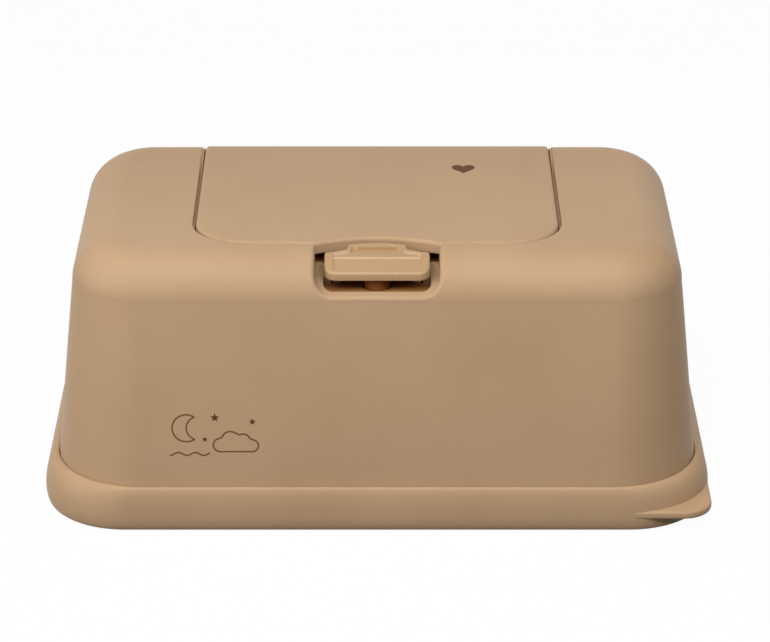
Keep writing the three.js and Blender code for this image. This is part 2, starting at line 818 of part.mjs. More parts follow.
/** The latch nose: a hook down from the tongue whose lip stops just short of the catch. */
function buttonNose() {
  const tip = archRear - catchReach - noseGap;
  const bottom = hoodHeight - noseDrop;
  const profile = new THREE.Shape([
    new THREE.Vector2(tip - 2 * noseThickness, bottom),
    new THREE.Vector2(tip, bottom),
    new THREE.Vector2(tip, bottom + noseThickness / 2),
    new THREE.Vector2(tip - noseThickness, bottom + 2 * noseThickness),
    new THREE.Vector2(tip - noseThickness, buttonTopAt(tip) - buttonWall),
    new THREE.Vector2(tip - 2 * noseThickness, buttonTopAt(tip) - buttonWall),
  ]);
  return profileAlongX(profile, -noseWidth / 2, noseWidth / 2);
}

/** The peg under the button that centres its spring. */
function springSpigot() {
  const top = buttonTopAt(-buttonCoilFront) - buttonWall;
  return post(spigotRadius, 0, -buttonCoilFront, top - spigotHeight, top + buttonWall / 2);
}

/** The cup under the button round its spring, closed above by the button's own top. */
function springCup() {
  const inner = buttonCoilRadius + buttonWire / 2 + cupGap;
  const bottom = buttonTopAt(-buttonCoilFront) - buttonWall - cupHeight;
  return post(inner + cupWall, 0, -buttonCoilFront, bottom, hoodHeight)
    .subtract(post(inner, 0, -buttonCoilFront, bottom, hoodHeight))
    .intersect(topSlab(buttonWall / 2, wellDrop, -buttonFront, archRear));
}

function latchButton() {
  const half = buttonWidth / 2;
  const shelfTop = hoodHeight - shelfDrop;
  const base = hoodHeight - wellDrop;
  const edge = prism(buttonShape(0), base, hoodHeight);
  const raised = prism(tongueShape(0), base, hoodHeight);
  const shelf = prism(buttonShape(0), base, shelfTop);
  const top = topSlab(0, wellDrop, -buttonFront, archRear);
  const cap = edge.intersect(top).intersect(aboveSkirt()).intersect(raised.add(shelf));
  const innerEdge = prism(buttonShape(buttonWall), base, hoodHeight);
  const innerRaised = prism(tongueShape(buttonWall), base, hoodHeight);
  const innerShelf = prism(buttonShape(buttonWall), base, shelfTop - buttonWall);
  const innerTop = topSlab(buttonWall, wellDrop, -buttonFront, archRear);
  const hollow = innerEdge.intersect(innerTop).intersect(innerRaised.add(innerShelf));
  const padHalf = half - padSideMargin;
  const padEdge = prism(buttonShape(padMargin), base, hoodHeight).intersect(
    block(-padHalf, padHalf, -buttonFront, archRear, base, hoodHeight),
  );
  const padRaised = prism(tongueShape(padMargin), base, hoodHeight);
  const lowerPad = topSlab(-padDepth, padDepth, -buttonFront, buttonCrest - crestWidth / 2);
  const upperPad = topSlab(-padDepth, padDepth, buttonCrest + crestWidth / 2, archRear);
  const pads = padEdge.intersect(padRaised).intersect(lowerPad.add(upperPad));
  const seat = joined([springCup(), springSpigot()]);
  return joined([cutBy(cap, [hollow, pads]), buttonLug(1), buttonLug(-1), buttonNose(), seat]).subtract(
    barAlongX(buttonPinRadius + runningGap, -half, half, buttonPivot.y, buttonPivot.z),
  );
}

function buttonPin() {
  const end = wellWidth / 2 + wall;
  return barAlongX(buttonPinRadius, -end, end, buttonPivot.y, buttonPivot.z);
}

/** The path of the button's spring: an upright helix whose ends run level for a wire's width. */
class HelixPath extends THREE.Curve {
  constructor(bottom, top) {
    super();
    this.bottom = bottom;
    this.top = top;
  }

  getPoint(t, target = new THREE.Vector3()) {
    const coil = 2 * Math.PI * buttonCoilRadius * buttonCoilTurns;
    const run = t * (coil + 2 * buttonWire) - buttonWire;
    const wound = THREE.MathUtils.clamp(run, 0, coil);
    const angle = wound / buttonCoilRadius;
    const beyond = run - wound;
    return target.set(
      buttonCoilRadius * Math.cos(angle) - beyond * Math.sin(angle),
      -buttonCoilFront + buttonCoilRadius * Math.sin(angle) + beyond * Math.cos(angle),
      THREE.MathUtils.lerp(this.bottom, this.top, wound / coil),
    );
  }
}

function buttonSpring() {
  const path = new HelixPath(
    wellFloor + seatGap + buttonWire / 2,
    buttonTopAt(-buttonCoilFront - buttonCoilRadius) - buttonWall - seatGap - buttonWire / 2,
  );
  const turnLength = 2 * Math.PI * buttonCoilRadius;
  console.log(`button spring: least gap ${leastGap(path, buttonWire, turnLength).toFixed(2)} mm`);
  return wireAlong(path, buttonWire, curlSteps * buttonCoilTurns);
}

// Materials and the assembly

const shellPlastic = new THREE.MeshStandardMaterial({ color: 0xb99a78, roughness: 0.45, metalness: 0 });
const lidPlastic = new THREE.MeshStandardMaterial({ color: 0xba9b79, roughness: 0.45, metalness: 0 });
const buttonPlastic = new THREE.MeshStandardMaterial({ color: 0xc2a27a, roughness: 0.42, metalness: 0 });
const silicone = new THREE.MeshStandardMaterial({ color: 0xe6e1d8, roughness: 0.6, metalness: 0 });
const rubber = new THREE.MeshStandardMaterial({ color: 0x8a7358, roughness: 0.8, metalness: 0 });
const steel = new THREE.MeshStandardMaterial({ color: 0xb8bcc0, roughness: 0.3, metalness: 1 });

const base = new THREE.Group();
base.add(meshOf("base_tray", baseTray(), shellPlastic), meshOf("base_gasket", baseGasket(), silicone));
for (const [corner, [x, y]] of Object.entries(footPlaces())) {
  const foot = meshOf(`foot_${corner}`, footPuck(), rubber);
  foot.position.set(x, y, 0);
  base.add(foot);
}

const lidGroup = new THREE.Group();
lidGroup.position.copy(hingePivot);
lidGroup.add(
  meshOf("lid", lid(), lidPlastic, hingePivot),
  meshOf("lid_seal", lidSeal(), silicone, hingePivot),
);

const buttonGroup = new THREE.Group();
buttonGroup.position.copy(buttonPivot);
buttonGroup.add(meshOf("latch_button", latchButton(), buttonPlastic, buttonPivot));

const hoodGroup = new THREE.Group();
hoodGroup.add(
  meshOf("hood", hood(), shellPlastic),
  meshOf("hinge_pin", hingePin(), steel),
  meshOf("lid_spring_left", lidSpring(-1), steel),
  meshOf("lid_spring_right", lidSpring(1), steel),
  meshOf("button_pin", buttonPin(), steel),
  meshOf("button_spring", buttonSpring(), steel),
  lidGroup,
  buttonGroup,
);

const dispenser = new THREE.Group();
dispenser.add(base, hoodGroup);

export default dispenser;
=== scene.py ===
"""Dressed model of a free-standing box for moist wipes.

A hood plugs into a shallow base tray. A sprung lid wraps over the hood's rear shoulder, and a rocking
latch button sits in a pocket of the front shoulder. Sizes are millimetres until a mesh is made, and
the frame is +X to the right, -Y to the front and +Z up, with the floor at zero. In a size's name, drop
is measured down from the hood's top, inset back from the wall where its roll begins, and place from the
middle. A gap is a clear distance, round the radius of an edge, and angles and slopes are in degrees. A class's
docstring explains the sizes whose names don't say enough.
"""
import logging
import math
from dataclasses import dataclass, field
from enum import Enum
from typing import Sequence

import bmesh
import bpy
import numpy as np
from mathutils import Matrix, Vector


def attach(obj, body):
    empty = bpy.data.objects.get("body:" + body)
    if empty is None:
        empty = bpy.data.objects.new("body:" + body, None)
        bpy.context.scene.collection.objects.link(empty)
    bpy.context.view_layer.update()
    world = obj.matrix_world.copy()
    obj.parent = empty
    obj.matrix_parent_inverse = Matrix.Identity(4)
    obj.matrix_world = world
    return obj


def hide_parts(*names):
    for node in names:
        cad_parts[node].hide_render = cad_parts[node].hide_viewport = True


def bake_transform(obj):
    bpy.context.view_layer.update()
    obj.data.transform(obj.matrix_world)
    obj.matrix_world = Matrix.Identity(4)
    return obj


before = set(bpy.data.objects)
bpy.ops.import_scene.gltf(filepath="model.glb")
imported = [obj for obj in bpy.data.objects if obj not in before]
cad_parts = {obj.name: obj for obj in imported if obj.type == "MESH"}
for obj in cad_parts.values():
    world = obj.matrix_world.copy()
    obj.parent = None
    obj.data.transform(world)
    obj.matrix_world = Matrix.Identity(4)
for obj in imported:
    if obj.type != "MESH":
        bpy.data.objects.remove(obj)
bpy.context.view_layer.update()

log = logging.getLogger("wipe_dispenser")

METRE = 0.001
FULL = 2 * math.pi
OVERRUN = 8.0  # how far a cutter runs past what it cuts
SAME_POINT = 1e-3  # points closer than this are one
MERGE, SLIVER = 2e-6, 1e-6  # the same for a finished mesh, in metres, and its shortest edge
CORNER_STEPS = 26  # chords in a large corner
BAR_SIDES, POST_SIDES, WIRE_SIDES = 96, 64, 12
HINGE_SIDES = 144  # sides of the large bars about the hinge
BLUNT = 9.0  # degrees by which a rounding's arc stops short of each face
WHITE = (1.0, 1.0, 1.0, 1.0)

Array, Mesh, Material = np.ndarray, bpy.types.Mesh, bpy.types.Material
Lengths = float | Array


class Body(Enum):
    """The moving bodies that a piece can ride on."""

    BASE = "base"
    HOOD = "hood"
    LID = "lid"
    BUTTON = "button"


class Slot(Enum):
    """Names of material slots, which no piece here takes its finish from."""

    SHELL = "shell"
    LID_SHELL = "lid_shell"
    BUTTON_SHELL = "button_shell"
    SILICONE = "silicone"
    FOOT_RUBBER = "foot_rubber"
    STEEL = "steel"


class Carve(Enum):
    """What one solid does to another."""

    ADD = "UNION"
    CUT = "DIFFERENCE"
    KEEP = "INTERSECT"


ADD, CUT, KEEP = Carve


class Side(Enum):
    """Left or right of the box, as the sign of X."""

    LEFT = -1
    RIGHT = 1


# Arrays, outlines and solids


def smooth_step(value: Array) -> Array:
    """Zero below 0, one above 1, and three squares less two cubes between."""
    share = np.clip(value, 0.0, 1.0)
    return share * share * (3.0 - 2.0 * share)


def arc(x: float, y: float, radius: float, start: float, end: float, steps: int) -> Array:
    """A circular arc: the centre plus the radius times cosine and sine of an even run of angles in degrees."""
    angle = np.radians(np.linspace(start, end, steps + 1))
    return np.stack([x + radius * np.cos(angle), y + radius * np.sin(angle)], -1)


def lower_corners(half: float, low: float, radius: float, steps: int) -> Array:
    """Two round corners over a lower edge, left then right: a quarter circle about each centre."""
    ends = ((-half + radius, 180), (half - radius, 270))
    return np.concatenate([arc(x, low + radius, radius, start, start + 90, steps) for x, start in ends])


def distinct(points: Array, closed: bool = False) -> Array:
    """A run of points without neighbours that lie on each other.

    Args:
        points: the run, one row for each point.
        closed: whether the last point is also a neighbour of the first.

    Returns:
        The points whose distance to the one before is over a thousandth of a millimetre.
    """
    gap = np.linalg.norm(points - np.roll(points, 1, axis=0), axis=-1)
    if not closed:
        gap[0] = 1.0
    return points[gap > SAME_POINT]


def rounded_rectangle(half_x: Lengths, half_y: Lengths, radius: Lengths) -> Array:
    """Outlines of rectangles with round corners, anticlockwise about the origin.

    Args:
        half_x: half the width of each outline, a number or an array.
        half_y: half the depth of each outline.
        radius: corner radius of each outline.

    Returns:
        An array of outline by point by coordinate: each corner's centre plus its radius times cosine
        and sine of the quarter turn that belongs to the corner.
    """
    half_x, half_y, radius = (np.atleast_1d(np.asarray(v, float))[:, None] for v in (half_x, half_y, radius))
    corner = np.repeat(np.arange(4), CORNER_STEPS + 1)
    angle = (corner + np.tile(np.linspace(0, 1, CORNER_STEPS + 1), 4)) * math.pi / 2
    sign_x = np.where((corner == 0) | (corner == 3), 1.0, -1.0)
    sign_y = np.where(corner < 2, 1.0, -1.0)
    x = sign_x * (half_x - radius) + radius * np.cos(angle)
    y = sign_y * (half_y - radius) + radius * np.sin(angle)
    return np.stack([x, y], -1)


def outline_normals(points: Array, closed: bool = False) -> Array:
    """Unit normals to the right of a run of points in the plane.

    Args:
        points: the run, one row for each point.
        closed: whether the run joins its own start.

    Returns:
        For each point the direction from the point before to the point after, turned a quarter clockwise.
    """
    if closed:
        along = np.roll(points, -1, axis=0) - np.roll(points, 1, axis=0)
    else:
        along = np.gradient(points, axis=0)
    right = np.stack([along[:, 1], -along[:, 0]], -1)
    return right / np.linalg.norm(right, axis=-1, keepdims=True)


def raised(outline: Array, height: Lengths) -> Array:
    """A flat outline as points in space at a height."""
    return np.concatenate([outline, np.broadcast_to(height, outline.shape[:-1])[..., None]], -1)


@dataclass
class Solid:
    """A closed surface.

    Attributes:
        points: its points in millimetres, one row each.
        faces: arrays of point numbers, one array for each size of face.
    """

    points: Array
    faces: list[Array]

    def volume(self) -> float:
        """The enclosed volume.

        Returns:
            A sixth of the triple product of each triangle's corners, summed over all.
        """
        total = 0.0
        for face in self.faces:
            corner = self.points[face]
            fan = np.cross(corner[:, 1:-1], corner[:, 2:])
            total += float((fan * corner[:, :1]).sum()) / 6.0
        return total

    def outward(self) -> "Solid":
        """The solid with its faces pointing out.

        Returns:
            The same solid, its faces turned round if they pointed in.
        """
        if self.volume() < 0:
            self.faces = [face[:, ::-1] for face in self.faces]
        return self

    def upside_down(self) -> "Solid":
        """The solid mirrored in the floor."""
        return Solid(self.points * np.array([1, 1, -1]), self.faces).outward()

    def mesh(self, name: str = "solid") -> Mesh:
        """The solid as a mesh in metres.

        Args:
            name: the mesh's name.

        Returns:
            A mesh whose points are the solid's, scaled to metres, and whose loops are its faces in a row.
        """
        loops = np.concatenate([face.ravel() for face in self.faces]).astype(np.int32)
        sizes = np.concatenate([np.full(len(face), face.shape[1]) for face in self.faces])
        mesh = bpy.data.meshes.new(name)
        mesh.vertices.add(len(self.points))
        mesh.vertices.foreach_set("co", (self.points * METRE).astype(np.float32).ravel())
        mesh.loops.add(len(loops))
        mesh.loops.foreach_set("vertex_index", loops)
        mesh.polygons.add(len(sizes))
        mesh.polygons.foreach_set("loop_start", (np.cumsum(sizes) - sizes).astype(np.int32))
        mesh.update(calc_edges=True)
        mesh.validate()
        return mesh


def carried(sections: Array, closed: bool = False) -> Solid:
    """A solid through a row of closed sections.

    Args:
        sections: section by point by coordinate.
        closed: whether the last section joins the first, as in a ring, instead of both ends being capped.

    Returns:
        Quads between each pair of neighbouring sections, and one many-sided face over each open end.
    """
    count, size, _ = sections.shape
    row = np.arange(count if closed else count - 1)[:, None]
    step = np.arange(size)[None, :]
    after, onward = (step + 1) % size, (row + 1) % count
    quads = np.stack([row * size + step, row * size + after, onward * size + after, onward * size + step], -1)
    faces = [quads.reshape(-1, 4)]
    if not closed:
        faces += [np.arange(size)[None, ::-1], (count - 1) * size + np.arange(size)[None, :]]
    return Solid(sections.reshape(-1, 3), faces).outward()


def prism(outline: Array, low: float, high: float) -> Solid:
    """A flat outline carried straight up from one height to another."""
    return carried(np.stack([raised(outline, low), raised(outline, high)]))


def box(x0: float, x1: float, y0: float, y1: float, low: float, high: float) -> Solid:
    """An upright box between two corners."""
    return prism(np.array([[x0, y0], [x1, y0], [x1, y1], [x0, y1]]), low, high)


def along_x(profile: Array, x0: float, x1: float) -> Solid:
    """A profile in Y and Z carried along X."""
    return carried(np.stack([np.insert(profile, 0, x, axis=1) for x in (x0, x1)]))


def bar(radius: float, x0: float, x1: float, y: float, z: float, sides: int = BAR_SIDES) -> Solid:
    """A round bar along X about a line at a place in Y and Z."""
    return along_x(distinct(arc(y, z, radius, 0, 360, sides), True), x0, x1)


def post(radius: float, x: float, y: float, low: float, high: float) -> Solid:
    """An upright round post."""
    return prism(distinct(arc(x, y, radius, 0, 360, POST_SIDES), True), low, high)


def turned_bar(radius: float, x0: float, x1: float, y: float, z: float, chamfer: float) -> Solid:
    """A round bar along X whose two ends are rounded off.

    Args:
        radius: the bar's radius.
        x0: its left end.
        x1: its right end.
        y: its axis along Y.
        z: its axis along Z.
        chamfer: radius of the rounding at each end.

    Returns:
        A circle carried along X, drawn in at both ends by one less the cosine of a quarter turn.
    """
    turn = np.radians(np.linspace(90, 0, 7))
    inset = chamfer * (1 - np.cos(turn))
    reach = chamfer * (1 - np.sin(turn))
    places = np.concatenate([x0 + reach, x1 - reach[::-1]])
    radii = radius - np.concatenate([inset, inset[::-1]])
    circle = distinct(arc(0, 0, 1, 0, 360, POST_SIDES), True)
    points = radii[:, None, None] * circle + np.array([y, z])
    across = np.broadcast_to(places[:, None, None], (*points.shape[:2], 1))
    return carried(np.concatenate([across, points], -1))


def ring_wall(outside: Array, inside: Array, low: float, high: float, soften: float) -> Solid:
    """A wall between two outlines of equal count, with its upper edges rounded.

    Args:
        outside: the outer outline.
        inside: the inner outline, with as many points.
        low: the wall's foot.
        high: its top.
        soften: radius of both upper edges.

    Returns:
        A section carried round: up the outer face, over two quarter arcs and down the inner face.
    """
    turn = np.radians(np.linspace(0, 90, 6))
    width = np.linalg.norm(outside - inside, axis=-1).mean()
    drawn = soften / width * (1 - np.cos(turn))
    height = high - soften + soften * np.sin(turn)
    share = np.concatenate([[0.0], drawn, 1 - drawn[::-1], [1.0]])
    level = np.concatenate([[low], height, height[::-1], [low]])
    flat = outside[:, None] + share[None, :, None] * (inside - outside)[:, None]
    return carried(raised(flat, level[None, :]), closed=True)


def edge_rounder(
    path: Array, first: Array, second: Array, radius: float, reach: float = 0.3
) -> Solid:
    """A cutter that rounds an edge between two faces.

    Args:
        path: the points of the edge.
        first: the outward unit normal of one face at each point.
        second: the outward unit normal of the other face.
        radius: the rounding's radius.
        reach: length of the straight run past each end of the arc.

    Returns:
        A carried section: an arc about the point that lies one radius inside both faces, swept from one
        normal to the other, a tangent run at each end, and an apex outside the edge.
    """
    cosine = (first * second).sum(-1, keepdims=True)
    turn = np.arccos(np.clip(cosine, -1, 1))
    centre = path - radius / (1 + cosine) * (first + second)
    cut = math.radians(BLUNT)
    angle = cut + np.linspace(0, 1, 9)[None, :] * (turn - 2 * cut)
    towards = (
        np.sin(turn - angle)[..., None] * first[:, None] + np.sin(angle)[..., None] * second[:, None]
    ) / np.sin(turn)[..., None]
    onward = (
        -np.cos(turn - angle)[..., None] * first[:, None] + np.cos(angle)[..., None] * second[:, None]
    ) / np.sin(turn)[..., None]
    bow = centre[:, None] + radius * towards
    start = bow[:, :1] - reach * onward[:, :1]
    end = bow[:, -1:] + reach * onward[:, -1:]
    apex = (path + 0.5 * reach * (first + second))[:, None]
    return carried(np.concatenate([start, bow, end, apex], axis=1))


def wire(path: Array, diameter: float, axis: Sequence[float]) -> Solid:
    """A round wire along a path.

    Args:
        path: the points of its centre line.
        diameter: the wire's diameter.
        axis: a direction that the path never follows, such as the axis of its coil.

    Returns:
        A circle carried along the path in the plane of the normal and binormal. The normal is the axis
        less its share along the tangent, and the binormal is the cross product of the two.
    """
    tangent = np.gradient(path, axis=0)
    tangent /= np.linalg.norm(tangent, axis=-1, keepdims=True)
    across = np.asarray(axis, float)
    normal = across - (tangent @ across)[:, None] * tangent
    normal /= np.linalg.norm(normal, axis=-1, keepdims=True)
    binormal = np.cross(tangent, normal)
    circle = distinct(arc(0, 0, diameter / 2, 0, 360, WIRE_SIDES), True)
    section = circle[None, :, :1] * normal[:, None] + circle[None, :, 1:] * binormal[:, None]
    return carried(path[:, None] + section)


def carve(start: Mesh | Solid, *steps: tuple[Carve, Mesh | Solid]) -> Mesh:
    """One mesh after joins and cuts by others, in order.

    Args:
        start: the first solid.
        steps: what to do, and the solid to do it with.

    Returns:
        The resulting closed mesh.
    """
    collection = bpy.context.scene.collection
    meshes = [solid.mesh() if isinstance(solid, Solid) else solid for solid in [start, *(s for _, s in steps)]]
    objects = [bpy.data.objects.new("workpiece", mesh) for mesh in meshes]
    for item in objects:
        collection.objects.link(item)
    for (action, _), tool in zip(steps, objects[1:]):
        modifier = objects[0].modifiers.new("carve", "BOOLEAN")
        modifier.operation, modifier.object, modifier.solver = action.value, tool, "MANIFOLD"
    graph = bpy.context.evaluated_depsgraph_get()
    result = bpy.data.meshes.new_from_object(objects[0].evaluated_get(graph))
    for item in objects:
        bpy.data.objects.remove(item)
    for mesh in meshes:
        bpy.data.meshes.remove(mesh)
    return result


def place(
    name: str,
    shape: Mesh | Solid,
    material: Material,
    body: Body | None,
    stands_for: Sequence[str] = (),
    crease: float = 32.0,
) -> bpy.types.Object:
    """A finished piece of the object.

    Args:
        name: the piece's name.
        shape: its mesh or solid.
        material: its finish.
        body: the body it rides on, or None for a piece that is left unattached.
        stands_for: the CAD nodes that it replaces.
        crease: edges that turn by more than this many degrees stay sharp.

    Returns:
        The piece's object, smooth apart from its sharp edges, with normals that lean to the larger faces.
    """
    mesh = shape.mesh(name) if isinstance(shape, Solid) else shape
    mesh.name = name
    work = bmesh.new()
    work.from_mesh(mesh)
    bmesh.ops.remove_doubles(work, verts=work.verts, dist=MERGE)
    bmesh.ops.dissolve_degenerate(work, dist=SLIVER, edges=work.edges)
    work.to_mesh(mesh)
    work.free()
    mesh.shade_smooth()
    mesh.set_sharp_from_angle(angle=math.radians(crease))
    mesh.materials.clear()
    mesh.materials.append(material)
    piece = bpy.data.objects.new(name, mesh)
    bpy.context.scene.collection.objects.link(piece)
    lean = piece.modifiers.new("larger_faces_lead", "WEIGHTED_NORMAL")
    lean.keep_sharp = True
    if body is not None:
        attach(piece, body.value)
    if stands_for:
        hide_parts(*stands_for)
    log.info("%s: %d faces", name, len(mesh.polygons))
    return piece


# Finishes


def linear(red: int, green: int, blue: int) -> tuple[float, ...]:
    """A screen colour as light: the 2.4 power of its shifted share, or a 12.92nd of the share below the toe."""
    share = np.array([red, green, blue]) / 255.0
    return *np.where(share <= 0.04045, share / 12.92, ((share + 0.055) / 1.055) ** 2.4).tolist(), 1.0


def shader_node(tree: bpy.types.NodeTree, kind: str, values: dict[str, float | tuple[float, ...]]) -> bpy.types.Node:
    """A new node in a material or a world.

    Args:
        tree: the tree that gets it.
        kind: the node's kind.
        values: what some of its inputs are set to, by their names.

    Returns:
        The node, with nothing linked to it.
    """
    node = tree.nodes.new(f"ShaderNode{kind}")
    for socket, value in values.items():
        node.inputs[socket].default_value = value
    return node


@dataclass(frozen=True)
class Finish:
    """A surface finish with a cloudy tint, a fine grain and an uneven gloss.

    Scales are in cycles over a metre, depth and reach in metres.

    Attributes:
        tint: a second screen colour that drifts through the first.
        specular: strength of the clear reflection, with one half for common plastic.
        gloss_drift: how far the roughness wanders.
        cloud_ends: the noise values at which only the tint or only the colour is left.
    """

    name: str
    colour: tuple[int, int, int]
    tint: tuple[int, int, int]
    roughness: float
    metallic: float = 0.0
    specular: float = 0.1
    cloud_scale: float = 26.0
    grain_scale: float = 2600.0
    grain_depth: float = 2e-6
    gloss_drift: float = 0.05
    translucency: float = 0.0
    scatter_reach: float = 0.002
    cloud_ends: tuple[float, float] = (0.3, 0.62)
    cloud_detail: float = 4.0
    grain_detail: float = 3.0

    def material(self) -> Material:
        """The finish as a node material.

        Returns:
            A material in which one noise mixes the two colours and wanders the roughness, and a finer one bumps
            the surface.
        """
        material = bpy.data.materials.new(self.name)
        material.use_nodes = True
        tree = material.node_tree
        shader = tree.nodes["Principled BSDF"]
        plain = {
            "Metallic": self.metallic,
            "Specular IOR Level": self.specular,
            "Subsurface Weight": self.translucency,
            "Subsurface Scale": self.scatter_reach,
        }
        for socket, value in plain.items():
            shader.inputs[socket].default_value = value
        low, high = self.roughness - self.gloss_drift, self.roughness + self.gloss_drift
        where, ramp = shader_node(tree, "TexCoord", {}), shader_node(tree, "ValToRGB", {})
        cloud = shader_node(tree, "TexNoise", {"Scale": self.cloud_scale, "Detail": self.cloud_detail})
        gloss = shader_node(tree, "MapRange", {"To Min": low, "To Max": high})
        grain = shader_node(tree, "TexNoise", {"Scale": self.grain_scale, "Detail": self.grain_detail})
        bump = shader_node(tree, "Bump", {"Distance": self.grain_depth})
        for stop, spot, colour in zip(ramp.color_ramp.elements, self.cloud_ends, (self.tint, self.colour)):
            stop.position, stop.color = spot, linear(*colour)
        for source, output, target, entry in (
            (where, "Object", cloud, "Vector"),
            (where, "Object", grain, "Vector"),
            (cloud, "Fac", ramp, "Fac"),
            (cloud, "Fac", gloss, "Value"),
            (grain, "Fac", bump, "Height"),
            (ramp, "Color", shader, "Base Color"),
            (gloss, "Result", shader, "Roughness"),
            (bump, "Normal", shader, "Normal"),
        ):
            tree.links.new(source.outputs[output], target.inputs[entry])
        return material


@dataclass(frozen=True)
class Palette:
    """The finishes of the whole box."""

    shell: Finish = Finish("moulded_shell", (189, 157, 123), (184, 152, 118), 0.44)
    lid: Finish = Finish("moulded_lid", (189, 157, 123), (184, 152, 118), 0.44)
    button: Finish = Finish("moulded_button", (182, 148, 108), (177, 143, 103), 0.32, 0.0, 0.4)
    # The cup's dark brown is painted shade: it stands in for the shadow under the button.
    cup: Finish = Finish("cup_painted_shade", (136, 84, 40), (129, 79, 37), 0.6)
    # The insert's dark brown is painted shade: a dark sheet that stands in for the shade in the well under the button.
    insert: Finish = Finish("insert_painted_shade", (164, 112, 63), (157, 106, 58), 0.6)
    silicone: Finish = Finish(
        "milky_silicone", (230, 225, 216), (222, 216, 205), 0.55, grain_depth=1e-6, translucency=0.2
    )
    rubber: Finish = Finish("soft_rubber", (138, 115, 88), (129, 107, 81), 0.78, grain_depth=6e-6)
    steel: Finish = Finish(
        "drawn_steel", (196, 198, 201), (184, 187, 191), 0.27, 1.0, 0.5, grain_scale=1400.0, gloss_drift=0.07
    )
    # The button pin's steel is darkened as painted shade, so that it shows no bright reflection in the dark well.
    painted_shade_steel: Finish = Finish(
        "steel_painted_shade", (74, 68, 62), (66, 60, 54), 0.42, 1.0, 0.5, grain_scale=1400.0, gloss_drift=0.07
    )
    line_ink: Finish = Finish("line_ink", (114, 80, 50), (108, 75, 46), 0.5, grain_depth=1e-6)
    dark_ink: Finish = Finish("dark_ink", (90, 60, 28), (84, 55, 24), 0.5, grain_depth=1e-6)


# The form that hood and lid share


@dataclass(frozen=True)
class Skin:
    """The outer skin of the hood: walls that lean in and roll over a shoulder to a flat top.

    Length, depth and corner are taken at the seam, where the lean begins.

    Attributes:
        shoulder: radius of the roll from wall to top.
        draft: how far the wall leans in for each unit of height.
        turns: chords in the shoulder's roll.
    """

    length: float = 210.7
    depth: float = 125.5
    corner: float = 29.1
    height: float = 92.1
    shoulder: float = 14.5
    draft: float = 0.105
    seam: float = 15.9
    wall: float = 2.2
    turns: int = 28

    @property
    def shoulder_start(self) -> float:
        """The height at which the roll begins."""
        return self.height - self.shoulder

    @property
    def lean(self) -> float:
        """How far the wall has leaned in where the roll begins."""
        return self.draft * (self.shoulder_start - self.seam)

    @property
    def roll_y(self) -> float:
        """The distance from the middle to the centre of the roll, along Y."""
        return self.depth / 2 - self.lean - self.shoulder

    @property
    def shoulder_y(self) -> float:
        """The distance from the middle to the wall where the roll begins, along Y."""
        return self.roll_y + self.shoulder

    def plan(self, inset: float) -> Array:
        """The outline in plan at the seam, drawn in by an inset."""
        return rounded_rectangle(self.length / 2 - inset, self.depth / 2 - inset, self.corner - inset)[0]

    def form(self, inset: float, bottom: float, lift: float = 0.0) -> Solid:
        """The whole form from a height up.

        Args:
            inset: how far it is drawn in all over.
            bottom: its lowest height.
            lift: how far the roll and the top are raised.

        Returns:
            Rounded rectangles carried up: upright below the seam, leaning to the shoulder, then drawn in
            by one less the cosine and raised by the sine of a quarter turn.
        """
        turn = np.radians(np.linspace(0, 90, self.turns + 1))
        roll = self.shoulder - inset
        foot = [bottom] if bottom >= self.seam else [bottom, self.seam]
        heights = np.concatenate([foot, self.shoulder_start + lift + roll * np.sin(turn)])
        lean = np.concatenate([np.full(len(foot), inset), self.lean + inset + roll * (1 - np.cos(turn))])
        plans = rounded_rectangle(self.length / 2 - lean, self.depth / 2 - lean, self.corner - lean)
        return carried(raised(plans, heights[:, None]))

    def over(self, x: Array, run: Array, lift: float = 0.0) -> tuple[Array, Array, Array]:
        """Places on the skin between its corners.

        Args:
            x: places along X.
            run: signed length along the skin from the middle of the top, positive to the rear.
            lift: how far the roll and the top are raised.

        Returns:
            The points, their outward normals and their tangents towards growing run: on the flat top the
            run is Y itself, on the roll the angle is the length past the flat part over the radius, and
            past the roll the run goes straight down.
        """
        side = np.sign(run)
        past = np.clip((np.abs(run) - self.roll_y) / self.shoulder, 0, math.pi / 2)
        down = np.maximum(np.abs(run) - self.roll_y - self.shoulder * math.pi / 2, 0)
        flat = np.minimum(np.abs(run), self.roll_y)
        y = side * (flat + self.shoulder * np.sin(past))
        z = self.shoulder_start + lift + self.shoulder * np.cos(past) - down
        zero = np.zeros_like(y)
        normal = np.stack([zero, side * np.sin(past), np.cos(past)], -1)
        tangent = np.stack([zero, np.cos(past), -side * np.sin(past)], -1)
        return np.stack([x, y, z], -1), normal, tangent

    def lifted_lip(self, outline: Array, into: Array, lift: float = 0.0) -> tuple[Array, ...]:
        """An edge on the skin, for a rounder.

        Args:
            outline: the edge's places, X and run along the skin.
            into: the wall's unit normals in the same two directions.
            lift: how far the skin is raised.

        Returns:
            The points, the skin's normals and the wall's normals in space.
        """
        points, normal, tangent = self.over(outline[:, 0], outline[:, 1], lift)
        wall = into[:, :1] * np.array([1.0, 0.0, 0.0]) + into[:, 1:] * tangent
        return points, normal, wall


